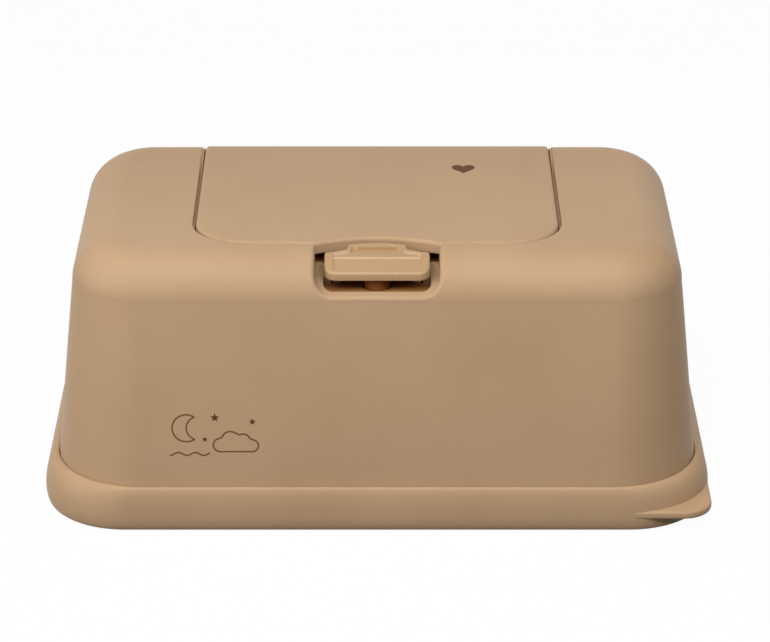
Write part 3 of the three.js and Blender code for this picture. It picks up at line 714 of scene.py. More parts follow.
@dataclass(frozen=True)
class LidPlan:
    """Where the lid and its hinge lie on the skin.

    Attributes:
        rise: how far the lid stands above the hood's top.
        side_gap: gap to the hood at its sides, where the groove shows.
        side_play: gap to the hood at its sides, below the groove.
        groove: depth of the groove at its sides.
        groove_ramp: where the groove's floor starts and ends its rise, along Y.
        arch_depth: how far the arch reaches back from the front edge.
        horn: half the arch's span, where the front edge meets it.
        horn_reach: length over which the front edge bows forward to the horn.
        hinge_depth: depth of the hinge line below the skin.
        sweep: clear gap round the lid's rolled rear edge.
    """

    skin: Skin = Skin()
    width: float = 118.2
    front_inset: float = 16.8
    corner: float = 16.5
    rise: float = 0.3
    side_gap: float = 1.0
    side_play: float = 0.35
    groove: float = 2.2
    groove_rear: float = 0.45
    groove_ramp: tuple[float, float] = (22.0, 43.0)
    front_gap: float = 0.6
    arch: float = 44.2
    arch_depth: float = 3.7
    horn: float = 20.6
    horn_reach: float = 10.4
    hinge_depth: float = 5.1
    hinge_angle: float = 28.0
    sweep: float = 0.5
    catch_reach: float = 0.8

    @property
    def front(self) -> float:
        """The lid's front edge, along -Y."""
        return self.skin.shoulder_y - self.front_inset

    @property
    def arch_y(self) -> float:
        """The centre of the arch."""
        return -self.front + self.arch_depth - self.arch

    @property
    def arch_rear(self) -> float:
        """The rearmost point of the arch."""
        return self.arch_y + self.arch

    @property
    def hinge(self) -> tuple[float, float]:
        """The hinge line in Y and Z.

        Returns:
            A place inside the roll by the hinge's depth, at its angle.
        """
        reach = self.skin.shoulder - self.hinge_depth
        angle = math.radians(self.hinge_angle)
        y = self.skin.roll_y + reach * math.cos(angle)
        return y, self.skin.shoulder_start + self.rise + reach * math.sin(angle)

    @property
    def lip(self) -> float:
        """The radius of the lid's rolled rear edge about the hinge."""
        y, z = self.hinge
        return math.hypot(self.skin.shoulder_y - y, z - self.skin.shoulder_start - self.rise)

    @property
    def trough(self) -> float:
        """The radius of the trough in the hood about the hinge."""
        return self.lip + self.sweep

    def outline(self, offset: float, arched: bool, front_offset: float | None = None) -> Array:
        """The lid's outline from its left rear round the front to its right rear.

        Args:
            offset: how far it is grown at the sides.
            arched: whether the arch is cut in, or the outline runs straight across.
            front_offset: how far it is grown in front, as at the sides if not given.

        Returns:
            Points in plan: a side, a corner arc, the front edge, a parabola that bows forward to the horn,
            the arch, and the same mirrored.
        """
        grown = offset if front_offset is None else front_offset
        half, radius, arch = self.width / 2 + offset, self.corner + offset, self.arch - grown
        front = -self.front - grown
        tip = self.arch_y + math.sqrt(arch**2 - self.horn**2)
        share = np.linspace(0, 1, 13)[:, None]
        bend = np.array([[-self.horn - self.horn_reach, front], [-self.horn - self.horn_reach / 2, front]])
        end = np.array([-self.horn, tip])
        bow = (1 - share) ** 2 * bend[0] + 2 * share * (1 - share) * bend[1] + share**2 * end
        rear = self.skin.depth / 2 + OVERRUN
        corner = arc(-half + radius, front + radius, radius, 180, 270, CORNER_STEPS)
        left = np.concatenate([[[-half, rear]], corner, bow])
        right = left[::-1] * np.array([-1.0, 1.0])
        if not arched:
            return distinct(np.concatenate([left, right]))
        swing = math.degrees(math.asin(self.horn / arch))
        middle = arc(0, self.arch_y, arch, 90 + swing, 90 - swing, 60)
        return distinct(np.concatenate([left, middle, right]))

    def skin_path(self, offset: float, arched: bool, front_offset: float | None = None) -> Array:
        """The outline on the skin.

        Args:
            offset: how far it is grown at the sides.
            arched: whether the arch is cut in.
            front_offset: how far it is grown in front, as at the sides if not given.

        Returns:
            Rows of X and run along the skin, carried on over the rear roll and a little down the wall.
        """
        plan = self.outline(offset, arched, front_offset)[1:-1]
        half = self.width / 2 + offset
        turn = self.skin.shoulder * np.radians(np.linspace(0, 90, self.skin.turns + 1))
        over_rear = np.concatenate([self.skin.roll_y + turn, [self.skin.roll_y + turn[-1] + OVERRUN]])
        left = np.stack([np.full(len(over_rear), -half), over_rear], -1)[::-1]
        return np.concatenate([left, plan, left[::-1] * np.array([-1.0, 1.0])])


@dataclass(frozen=True)
class Opening:
    """The dispensing opening in the deck under the lid, with its front and rear edges along Y."""

    length: float = 90.0
    front: float = -23.97
    rear: float = 29.96
    corner: float = 14.0

    def plan(self, offset: float) -> Array:
        """A rounded rectangle about the opening's middle, grown by an offset."""
        half_x, half_y = self.length / 2 + offset, (self.rear - self.front) / 2 + offset
        return rounded_rectangle(half_x, half_y, self.corner + offset)[0] + [0.0, (self.front + self.rear) / 2]


# Sub-assemblies


@dataclass
class HoodShell:
    """The hood: the upper shell with the lid's recess, the hinge trough and the button's pocket.

    What is named front, step or rear is measured back from the wall, as an inset is.

    Attributes:
        well_step: from the wall back to where the well widens.
        well_lap: how far the pocket's channel runs on over the well.
        land_width: width of the raised rim round the opening.
        spigot: radius of the peg in the button's spring.
        insert_half: half of the width of the insert, a shelf over the well.
        insert_clear: from the top down to the end of the cut that makes room for it.
        lug_slot: from the middle to the slots for the button's lugs.
        shelf_hole: radius of the hole in the shelf round the button's spring.
        shelf_sink: how far its front edge lies below the pocket's floor.
        shelf_fall: how far it falls to the rear.
        shelf_bury: how far it reaches into the well's walls.
        running: clearance round a pin.
        lip_lap: how far the pocket's rounded rim runs on past the lid's front edge.
        hair: how much wider the opening is cut at first, so that no faces coincide.
        through_lap: how far its last cut reaches up into its rim.
    """

    lid: LidPlan = field(default_factory=LidPlan)
    opening: Opening = field(default_factory=Opening)
    plug_bottom: float = 4.9
    deck_drop: float = 5.6
    pocket_width: float = 40.0
    pocket_corner: float = 5.5
    pocket_drop: float = 12.1
    pocket_angle: float = 11.3
    well_front: float = 3.4
    well_step: float = 17.9
    well_rear: float = 26.7
    well_width: float = 29.6
    well_drop: float = 18.5
    well_lap: float = 2.5
    land_width: float = 2.4
    land_height: float = 1.2
    land_round: float = 0.3
    flange: float = 1.6
    flange_height: float = 3.0
    pin: float = 1.25
    button_pin: float = 1.0
    button_pin_inset: float = 15.3
    button_pin_height: float = 6.0
    button_coil_inset: float = 9.9
    ear: float = 2.7
    ear_width: float = 3.0
    ear_place: float = 24.0
    spigot: float = 1.7
    spigot_height: float = 1.8
    shelf_rear: float = 13.6
    insert_half: float = 17.2
    insert_corner: float = 3.0
    insert_clear: float = 6.5
    lug_slot: float = 11.1
    lug_slot_front: float = 11.9
    pad_front: float = 10.3
    pad_drop: float = 7.3
    pad_reach: float = 4.5
    shelf_hole: float = 4.7
    shelf_sink: float = 0.35
    shelf_fall: float = 0.7
    shelf_thick: float = 1.3
    shelf_bury: float = 0.5
    corner_pad_drop: float = 8.0
    running: float = 0.2
    lip_round: float = 1.5
    lip_lap: float = 6.0
    lip_reach: float = 0.6
    lip_steps: int = 60
    recess_round: float = 0.5
    trough_round: float = 0.4
    hair: float = 0.01
    through_lap: float = 0.05

    @property
    def skin(self) -> Skin:
        """The hood's skin."""
        return self.lid.skin

    @property
    def deck_top(self) -> float:
        """The deck's upper face."""
        return self.skin.height - self.deck_drop

    @property
    def deck_bottom(self) -> float:
        """The deck's lower face."""
        return self.deck_top - self.skin.wall

    @property
    def well_floor(self) -> float:
        """The floor of the mechanism's well."""
        return self.skin.height - self.well_drop

    @property
    def button_pivot(self) -> tuple[float, float]:
        """The button's pin in Y and Z."""
        return self.button_pin_inset - self.skin.shoulder_y, self.well_floor + self.button_pin_height

    @property
    def coil_y(self) -> float:
        """The button spring's place along Y."""
        return self.button_coil_inset - self.skin.shoulder_y

    def pocket_profile(self, offset: float) -> Array:
        """The pocket's section across its floor.

        Args:
            offset: how far it is grown.

        Returns:
            Rows of X and height above the floor: down, round two lower corners, and up.
        """
        half, radius = self.pocket_width / 2 + offset, self.pocket_corner + offset
        top = self.skin.height
        return distinct(np.concatenate([[[-half, top]], lower_corners(half, -offset, radius, 20), [[half, top]]]))

    def pocket(self, offset: float) -> Solid:
        """The pocket's channel.

        Args:
            offset: how far it is grown.

        Returns:
            Its section carried rearwards and up at the slope of its floor.
        """
        profile = self.pocket_profile(offset)
        angle = math.radians(self.pocket_angle)
        runs = np.array([-OVERRUN, self.well_step + self.well_lap])
        y = -profile[None, :, 1] * math.sin(angle) + runs[:, None] * math.cos(angle) - self.skin.shoulder_y
        z = profile[None, :, 1] * math.cos(angle) + runs[:, None] * math.sin(angle)
        x = np.broadcast_to(profile[None, :, 0], y.shape)
        return carried(np.stack([x, y, z + self.skin.height - self.pocket_drop], -1))

    def pocket_lip(self) -> Solid:
        """The cutter that rounds the pocket's rim.

        Returns:
            A rounder along the line where the pocket's channel leaves the skin. Each point of the section
            slides along the floor's slope until it meets the circle of the roll, which is the smaller root
            of a quadratic. The sides run on along the skin to the recess.
        """
        profile = self.pocket_profile(0.0)[1:-1]
        angle = math.radians(self.pocket_angle)
        up = np.array([-math.sin(angle), math.cos(angle)])
        onward = np.array([math.cos(angle), math.sin(angle)])
        start = np.array([-self.skin.shoulder_y, self.skin.height - self.pocket_drop]) + profile[:, 1:] * up
        centre = np.array([-self.skin.roll_y, self.skin.shoulder_start])
        away = start - centre
        half_b = away @ onward
        root = -half_b - np.sqrt(half_b**2 - (away**2).sum(-1) + self.skin.shoulder**2)
        section = start + root[:, None] * onward
        points = np.concatenate([profile[:, :1], section], -1)
        radial = (section - centre) / self.skin.shoulder
        skin_normal = np.concatenate([np.zeros((len(points), 1)), radial], -1)
        flat = -outline_normals(profile)
        flat[0], flat[-1] = (1.0, 0.0), (-1.0, 0.0)
        wall_normal = np.concatenate([flat[:, :1], flat[:, 1:] * up], -1)
        runs = self.skin.shoulder * np.arccos(radial[0, 1]) + self.skin.roll_y
        half = self.pocket_width / 2
        climb = -np.linspace(0.0, runs, self.lip_steps)[:-1]
        climb = climb[climb < self.lip_lap - self.lid.front]
        side = np.stack([np.full(len(climb), -half), climb], -1)
        ahead = np.broadcast_to(np.array([1.0, 0.0]), side.shape)
        left = self.skin.lifted_lip(side, ahead)
        right = self.skin.lifted_lip(side[::-1] * np.array([-1.0, 1.0]), -ahead)
        path, first, second = (np.concatenate(rows) for rows in zip(left, (points, skin_normal, wall_normal), right))
        return edge_rounder(path, first, second, self.lip_round, self.lip_reach)

    def well(self, offset: float, top: float) -> tuple[Solid, Solid]:
        """The well behind and below the pocket.

        Args:
            offset: how far it is grown.
            top: height of its upper end.

        Returns:
            A narrow box, and one of the pocket's full width behind the step.
        """
        narrow, wide = self.well_width / 2 + offset, self.pocket_width / 2 + offset
        insets = (self.well_front, self.well_step, self.well_rear)
        front, step, rear = (inset - self.skin.shoulder_y for inset in insets)
        low = self.well_floor - offset
        return (
            box(-narrow, narrow, front - offset, rear + offset, low, top),
            box(-wide, wide, step - offset, rear + offset, low, top),
        )

    @property
    def insert_top(self) -> float:
        """The height of the insert's front edge."""
        floor_slope = math.tan(math.radians(self.pocket_angle))
        return self.skin.height - self.pocket_drop + self.well_front * floor_slope - self.shelf_sink

    def pad_cut(self, side: Side) -> Solid:
        """The cutter that flattens the pocket's corner beside the button.

        Args:
            side: left or right.

        Returns:
            A box at the rear of the channel.
        """
        outer = side.value * self.pocket_width / 2
        x0, x1 = sorted((outer, outer - side.value * self.pad_reach))
        front, rear = (inset - self.skin.shoulder_y for inset in (self.pad_front, self.well_rear))
        return box(x0, x1, front, rear, self.skin.height - self.pad_drop, self.skin.height + OVERRUN)

    def insert_plan(self, grow: float) -> Array:
        """The insert's outline in plan.

        Args:
            grow: how far the front and the sides are moved outwards.

        Returns:
            A rectangle over the front of the well with two round corners at the pocket's lip.
        """
        half, radius = self.insert_half + grow, self.insert_corner
        front, rear = (inset - self.skin.shoulder_y for inset in (self.well_front - grow, self.shelf_rear))
        corners = lower_corners(half, front, radius, 16)
        return distinct(np.concatenate([corners, [[half, rear], [-half, rear]]]), True)

    def shelf(self) -> Mesh:
        """The insert over the well, a dark sheet whose brown finish paints the well's shade.

        Returns:
            A shelf that carries the pocket's floor on over the well and falls to the rear, with the spring's
            hole and a slot at each of the button's lugs, and one pad in each of the well's wide corners.
        """
        wall_y, top = self.skin.shoulder_y, self.skin.height
        front, rear = -wall_y, self.shelf_rear - wall_y
        lip = self.insert_top
        thick, bury = self.shelf_thick, self.shelf_bury
        low = lip - self.shelf_fall
        profile = np.array([[front, lip - thick], [rear, low - thick], [rear, low], [front, lip]])
        half = self.pocket_width / 2
        pad_top = top - self.corner_pad_drop
        slots, pads = [], []
        for side in Side:
            x0, x1 = sorted((side.value * self.lug_slot, side.value * (half + bury)))
            slots.append(box(x0, x1, self.lug_slot_front - wall_y, rear + 1, low - thick - 1, top))
            x0, x1 = sorted((side.value * self.well_width / 2, side.value * (half + bury)))
            reach = (self.well_step - bury - wall_y, self.well_rear + bury - wall_y)
            pads.append(box(x0, x1, *reach, pad_top - thick, pad_top))
        return carve(
            along_x(profile, -half, half),
            (KEEP, prism(self.insert_plan(bury), self.well_floor, top)),
            (CUT, post(self.shelf_hole, 0, self.coil_y, self.well_floor, top)),
            *((CUT, slot) for slot in slots),
            *((ADD, pad) for pad in pads),
        )

    def lid_groove(self) -> Mesh:
        """The groove round the lid.

        Returns:
            The recess at its wide gap, kept to a layer under the skin. The layer is thinner on the rear roll,
            where a ramp brings the groove's floor up.
        """
        y, z = self.lid.hinge
        top, low = self.skin.height, self.skin.seam
        half = self.lid.width / 2 + self.lid.side_gap
        plan = self.lid.outline(self.lid.side_gap, False, self.lid.front_gap)
        start, end = self.lid.groove_ramp
        rear = self.skin.depth
        ramp = np.array([[start, low], [rear, low], [rear, top], [end, top], [start, top - self.lid.groove]])
        raised_floor = carve(
            self.skin.form(self.lid.groove_rear, self.plug_bottom),
            (KEEP, along_x(ramp, -self.skin.length, self.skin.length)),
        )
        return carve(
            prism(plan, self.deck_top, top + OVERRUN),
            (ADD, bar(self.lid.trough, -half, half, y, z, HINGE_SIDES)),
            (CUT, self.skin.form(self.lid.groove, self.plug_bottom)),
            (CUT, raised_floor),
        )

    def recess_lip(self) -> Solid:
        """The cutter that rounds the hood's edge along the lid's sides and front."""
        path = self.lid.skin_path(self.lid.side_gap, False, self.lid.front_gap)
        return edge_rounder(*self.skin.lifted_lip(path, -outline_normals(path)), self.recess_round)

    def trough_lip(self) -> Solid:
        """The cutter that rounds the rear wall's upper edge at the trough.

        Returns:
            A rounder along X. The edge lies below the hinge by the root of the trough's radius squared less the
            wall's distance squared.
        """
        y, z = self.lid.hinge
        lean = math.atan(self.skin.draft)
        wall_y = self.skin.shoulder_y
        reach = (wall_y - y) / self.lid.trough
        drop = self.lid.trough * math.sqrt(1 - reach**2)
        edge_z = z - drop
        edge_y = wall_y + self.skin.draft * (self.skin.shoulder_start - edge_z)
        half = self.lid.width / 2 + self.lid.side_gap
        path = np.array([[-half, edge_y, edge_z], [half, edge_y, edge_z]])
        outward = np.array([0.0, math.cos(lean), math.sin(lean)])
        inward = np.array([0.0, y - edge_y, z - edge_z])
        inward /= np.linalg.norm(inward)
        rows = np.ones((2, 1))
        return edge_rounder(path, rows * outward, rows * inward, self.trough_round)

    def hollow(self) -> Mesh:
        """The space inside the hood.

        Returns:
            The skin drawn in by the wall, less the walls of recess, trough, pocket and well.
        """
        lid, wall, top = self.lid, self.skin.wall, self.skin.height + OVERRUN
        y, z = lid.hinge
        half = lid.width / 2 + lid.side_gap + wall
        plan = lid.outline(lid.side_gap + wall, False, lid.front_gap + wall)
        return carve(
            self.skin.form(wall, self.plug_bottom - OVERRUN),
            (CUT, prism(plan, self.deck_bottom, top)),
            (CUT, bar(lid.trough + wall, -half, half, y, z, HINGE_SIDES)),
            (CUT, self.pocket(wall)),
            *((CUT, part) for part in self.well(wall, top)),
        )

    def ear_eye(self, side: Side) -> Mesh:
        """One bearing ear.

        Args:
            side: left or right.

        Returns:
            A round eye for the pin on an arm from the trough's front wall.
        """
        y, z = self.lid.hinge
        x = side.value * self.ear_place
        x0, x1 = x - self.ear_width / 2, x + self.ear_width / 2
        arm = box(x0, x1, y - self.lid.trough - self.skin.wall / 2, y, z - self.ear, z + self.ear)
        return carve(arm, (ADD, bar(self.ear, x0, x1, y, z)))

    def build(self, finish: Material, painted_shade_finish: Material) -> None:
        """Makes the hood's shell and puts it on its body.

        Args:
            finish: the shell's material.
            painted_shade_finish: the insert's material, a dark brown that paints the shade in the well.
        """
        skin, lid, opening = self.skin, self.lid, self.opening
        y, z = lid.hinge
        half = lid.width / 2 + lid.side_play
        pivot_y, pivot_z = self.button_pivot
        recess = prism(lid.outline(lid.side_play, False, lid.front_gap), self.deck_top, skin.height + OVERRUN)
        below, middle = self.deck_bottom - OVERRUN, self.deck_top - skin.wall / 2
        land_top = self.deck_top + self.land_height
        rim = ring_wall(opening.plan(self.land_width), opening.plan(0), middle, land_top, self.land_round)
        skirt = prism(opening.plan(self.flange), self.deck_bottom - self.flange_height, middle)
        spigot = post(self.spigot, 0, self.coil_y, self.well_floor - 1, self.well_floor + self.spigot_height)
        seat_low = self.insert_top - self.shelf_fall - self.shelf_bury
        eye, pin_end = lid.width / 2 + lid.side_gap + skin.wall + OVERRUN, self.pocket_width / 2
        shell = carve(
            skin.form(0.0, self.plug_bottom),
            (CUT, self.hollow()),
            (ADD, skirt),
            (CUT, recess),
            (CUT, bar(lid.trough, -half, half, y, z, HINGE_SIDES)),
            (CUT, self.lid_groove()),
            (CUT, self.pocket(0.0)),
            *((CUT, part) for part in self.well(0.0, skin.height + OVERRUN)),
            (CUT, prism(self.insert_plan(0.0), seat_low, skin.height - self.insert_clear)),
            *((CUT, self.pad_cut(side)) for side in Side),
            (CUT, prism(opening.plan(self.hair), below, skin.height)),
            (ADD, rim),
            (CUT, prism(opening.plan(0), below, middle + self.through_lap)),
            *((ADD, self.ear_eye(side)) for side in Side),
            (ADD, spigot),
            (CUT, bar(self.pin + self.running, -eye, eye, y, z)),
            (CUT, bar(self.button_pin + self.running, -pin_end, pin_end, pivot_y, pivot_z)),
            (CUT, self.recess_lip()),
            (CUT, self.pocket_lip()),
            (CUT, self.trough_lip()),
        )
        place("hood_shell", shell, finish, Body.HOOD, ["hood"])
        # The insert's dark brown material is painted shade in the well.
        place("pocket_insert_painted_shade", self.shelf(), painted_shade_finish, Body.HOOD)


@dataclass
class LidShell:
    """The lid: a shallow shell with a skirt, its knuckles, its catch and the channel for its seal.

    Attributes:
        edge_reach: the straight run at each side of its upper edge's rounding.
        knuckle: radius of the eyes on the pin.
        rib: width of the two ribs that hold the seal.
    """

    hood: HoodShell
    wall: float = 2.1
    skirt_bottom: float = 88.5
    edge_round: float = 1.3
    edge_reach: float = 0.25
    knuckle: float = 3.4
    knuckle_width: float = 6.0
    knuckle_place: float = 18.0
    catch_width: float = 11.0
    catch_bead: float = 1.2
    catch_drop: float = 10.0
    rib: float = 1.0
    rib_height: float = 1.2
    rib_round: float = 0.25
    seat_gap: float = 0.3

    @property
    def plan(self) -> LidPlan:
        """Where the lid lies."""
        return self.hood.lid

    @property
    def top(self) -> float:
        """The lid's upper face."""
        return self.plan.skin.height + self.plan.rise

    @property
    def underside(self) -> float:
        """The lid's lower face."""
        return self.top - self.wall

    def knuckle_eye(self, side: Side) -> Mesh:
        """One knuckle.

        Args:
            side: left or right.

        Returns:
            An eye on the pin with a web up to the shell's rear roll.
        """
        y, z = self.plan.hinge
        angle = math.radians(self.plan.hinge_angle)
        reach = self.plan.hinge_depth - self.wall / 2
        web = np.array([[0, -1], [reach / self.knuckle, -1], [reach / self.knuckle, 1], [0, 1]]) * self.knuckle
        turn = np.array([[math.cos(angle), math.sin(angle)], [-math.sin(angle), math.cos(angle)]])
        x = side.value * self.knuckle_place
        x0, x1 = x - self.knuckle_width / 2, x + self.knuckle_width / 2
        return carve(along_x(web @ turn + np.array([y, z]), x0, x1), (ADD, bar(self.knuckle, x0, x1, y, z)))

    def catch(self) -> Solid:
        """The catch.

        Returns:
            A tab down from the arch's skirt with a bead for the button's nose.
        """
        face = self.plan.arch_rear
        bottom = self.plan.skin.height - self.catch_drop
        bead = arc(face, bottom + self.catch_bead / 2, self.catch_bead / 2, 270, 90, 12)
        stretch = np.array([self.plan.catch_reach / (self.catch_bead / 2), 1.0])
        bead = (bead - [face, 0]) * stretch + [face, 0]
        top = self.skirt_bottom + self.wall
        profile = np.concatenate([[[face + self.wall, bottom]], bead, [[face, top], [face + self.wall, top]]])
        return along_x(profile, -self.catch_width / 2, self.catch_width / 2)

    def edge(self) -> Solid:
        """The cutter that rounds the lid's upper edge.

        Returns:
            A rounder along its sides, front and arch.
        """
        path = self.plan.skin_path(0.0, True)
        normals = outline_normals(path)
        lip = self.plan.skin.lifted_lip(path, normals, self.plan.rise)
        return edge_rounder(*lip, self.edge_round, self.edge_reach)

    def build(self, finish: Material) -> None:
        """Makes the lid's shell and puts it on its body.

        Args:
            finish: the lid's material.
        """
        plan, opening = self.plan, self.hood.opening
        skin, bore = plan.skin, self.hood.pin + self.hood.running
        y, z = plan.hinge
        half = plan.width / 2
        plate = prism(plan.outline(0.0, True), self.skirt_bottom, self.top + OVERRUN)
        footprint = carve(plate, (ADD, bar(plan.lip, -half, half, y, z, HINGE_SIDES)))
        hollow = carve(
            skin.form(self.wall, skin.seam, plan.rise),
            (KEEP, prism(plan.outline(-self.wall, True), skin.seam, self.top + OVERRUN)),
        )
        ribs = [
            ring_wall(
                opening.plan(offset), opening.plan(offset - self.rib), -self.underside - 1,
                -self.underside + self.rib_height, self.rib_round,
            )
            for offset in (self.hood.land_width + self.seat_gap + self.rib, -self.seat_gap)
        ]
        shell = carve(
            skin.form(0.0, skin.seam, plan.rise),
            (KEEP, footprint),
            (CUT, hollow),
            *((ADD, rib.upside_down()) for rib in ribs),
            *((ADD, self.knuckle_eye(side)) for side in Side),
            (ADD, self.catch()),
            (CUT, bar(bore, -half - OVERRUN, half + OVERRUN, y, z)),
            (CUT, self.edge()),
        )
        place("lid_shell", shell, finish, Body.LID, ["lid"])


@dataclass
class TrayShell:
    """The base tray: a floor with a bulged rim, a pull tab at one corner, and the hood's channel.

    Attributes:
        widest: height at which the rim is widest.
        undercut: how far the rim draws in below.
        lip: width of its upper edge.
        foot_reach: height of the tray's lower edge over the floor that it stands on.
        guide: width of the rib inside the hood's wall.
        channel: width of the rib outside it.
        tab_lead: how far the tab runs on past the rim's own corner.
        foot_core: radius of the tiny hole in a foot's middle.
        dish: radius of the flat part of the hollow in its sole.
        dish_rim: radius of that hollow's edge.
    """

    skin: Skin
    length: float = 220.0
    depth: float = 130.3
    corner: float = 27.8
    widest: float = 5.6
    undercut: float = 1.2
    lip: float = 0.25
    wall: float = 2.2
    seat_gap: float = 0.3
    foot_reach: float = 0.8
    floor: float = 2.2
    guide: float = 1.5
    guide_height: float = 6.0
    guide_round: float = 0.4
    channel: float = 1.2
    channel_height: float = 1.6
    channel_round: float = 0.3
    panel_margin: float = 34.0
    panel_depth: float = 0.6
    panel_corner: float = 12.0
    tab_corner: float = 9.6
    tab_thickness: float = 2.8
    tab_top: float = 7.8
    tab_edge: float = 1.0
    tab_lead: float = 3.0
    tab_side_inset: float = 0.45
    tab_front_inset: float = 0.05
    foot: float = 6.0
    foot_sink: float = 0.8
    foot_margin: float = 19.0
    foot_round: float = 0.4
    foot_top_round: float = 0.25
    foot_core: float = 0.02
    dish: float = 3.2
    dish_rim: float = 3.8
    dish_depth: float = 0.3

    @property
    def floor_top(self) -> float:
        """The floor's upper face."""
        return self.foot_reach + self.floor

    def foot_places(self) -> dict[str, tuple[float, float]]:
        """The four feet's places, named by corner."""
        x, y = self.skin.length / 2 - self.foot_margin, self.skin.depth / 2 - self.foot_margin
        return {"front_left": (-x, -y), "front_right": (x, -y), "rear_left": (-x, y), "rear_right": (x, y)}

    def rim(self, inset: float) -> Solid:
        """The bulged form: a short quarter ellipse below the widest height and a tall one above it.

        Args:
            inset: how far it is drawn in all over.

        Returns:
            Rounded rectangles carried up. Below, the height falls by a sine and the undercut grows by one
            less a cosine. Above, the outline goes from the widest to the seam's by a cosine.
        """
        turn = np.radians(np.linspace(0, 90, 15))
        seat = self.seat_gap + self.lip
        below = self.widest - (self.widest - self.foot_reach) * np.sin(turn[:0:-1])
        above = self.widest + (self.skin.seam - self.widest) * np.sin(turn)
        drawn = inset + np.concatenate([self.undercut * (1 - np.cos(turn[:0:-1])), np.zeros(len(turn))])
        bulge = np.concatenate([np.ones(len(turn) - 1), np.cos(turn)])
        half_x = (1 - bulge) * (self.skin.length / 2 + seat) + bulge * self.length / 2 - drawn
        half_y = (1 - bulge) * (self.skin.depth / 2 + seat) + bulge * self.depth / 2 - drawn
        radius = (1 - bulge) * (self.skin.corner + seat) + bulge * self.corner - drawn
        plans = rounded_rectangle(half_x, half_y, radius)
        return carried(raised(plans, np.concatenate([below, above])[:, None]))

    def tab(self) -> Mesh:
        """The pull tab.

        Returns:
            A thin plate under a tighter copy of the front right corner. At its edges the outline is drawn in by
            one less the cosine of a quarter turn.
        """
        turn = np.radians(np.linspace(0, 90, 9))
        inset = self.tab_edge * (1 - np.cos(turn[::-1]))
        rise = self.tab_edge * (1 - np.sin(turn[::-1]))
        bottom = self.tab_top - self.tab_thickness
        heights = np.concatenate([bottom + rise, self.tab_top - rise[::-1]])
        drawn = np.concatenate([inset, inset[::-1]])
        half_x, half_y = self.length / 2 - self.tab_side_inset, self.depth / 2 - self.tab_front_inset
        plans = rounded_rectangle(half_x - drawn, half_y - drawn, self.tab_corner - drawn)
        corner = box(
            self.length / 2 - self.corner - self.tab_lead, self.length / 2 + OVERRUN,
            -self.depth / 2 - OVERRUN, self.corner - self.depth / 2, 0.0, self.skin.seam,
        )
        return carve(carried(raised(plans, heights[:, None])), (KEEP, corner))

    def build(self, finish: Material) -> None:
        """Makes the tray and puts it on its body.

        Args:
            finish: the shell's material.
        """
        wide = self.length
        bulge_space = carve(self.rim(self.wall), (KEEP, box(-wide, wide, -wide, wide, self.floor_top, self.skin.seam)))
        mouth = prism(self.skin.plan(-self.seat_gap), self.floor_top, self.skin.seam + OVERRUN)
        inner = self.skin.wall + self.seat_gap
        low = self.floor_top - self.panel_depth
        guide = ring_wall(
            self.skin.plan(inner), self.skin.plan(inner + self.guide),
            low, self.floor_top + self.guide_height, self.guide_round,
        )
        rib = ring_wall(
            self.skin.plan(-self.seat_gap - self.channel), self.skin.plan(-self.seat_gap),
            low, self.floor_top + self.channel_height, self.channel_round,
        )
        places = self.foot_places().values()
        boss_top, seat_top = self.floor_top + self.panel_depth, self.foot_reach + self.foot_sink + self.seat_gap
        bosses = [post(self.foot + self.wall, x, y, low, boss_top) for x, y in places]
        seats = [post(self.foot + self.seat_gap, x, y, -OVERRUN, seat_top) for x, y in places]
        margin = self.panel_margin
        plan = rounded_rectangle(self.length / 2 - margin, self.depth / 2 - margin, self.panel_corner)[0]
        panel = prism(plan, -OVERRUN, self.foot_reach + self.panel_depth)
        tray = carve(
            self.rim(0.0),
            (ADD, self.tab()),
            (CUT, bulge_space),
            (CUT, mouth),
            (ADD, guide),
            (ADD, rib),
            *((ADD, boss) for boss in bosses),
            (CUT, panel),
            *((CUT, seat) for seat in seats),
        )
        place("base_shell", tray, finish, Body.BASE, ["base_tray"])

    def build_feet(self, finish: Material) -> None:
        """Makes the four rubber feet: a profile with rounded edges and a dished sole, turned round.

        Args:
            finish: the rubber's material.
        """
        height = self.foot_reach + self.foot_sink
        edge, upper_edge, core = self.foot_round, self.foot_top_round, self.foot_core
        lower = arc(self.foot - edge, edge, edge, 270, 360, 6)
        upper = arc(self.foot - upper_edge, height - upper_edge, upper_edge, 0, 90, 5)
        dish = np.array([[core, self.dish_depth], [self.dish, self.dish_depth], [self.dish_rim, 0.0]])
        profile = distinct(np.concatenate([dish, lower, upper, [[core, height]]]))
        turn = np.linspace(0, FULL, POST_SIDES + 1)[:-1]
        ring = np.stack([np.cos(turn), np.sin(turn)], -1)
        flat = profile[:, None, :1] * ring[None]
        points = raised(flat, profile[:, None, 1])
        for corner, (x, y) in self.foot_places().items():
            piece = carried(points + np.array([x, y, 0.0]))
            place(f"rubber_foot_{corner}", piece, finish, Body.BASE, [f"foot_{corner}"])


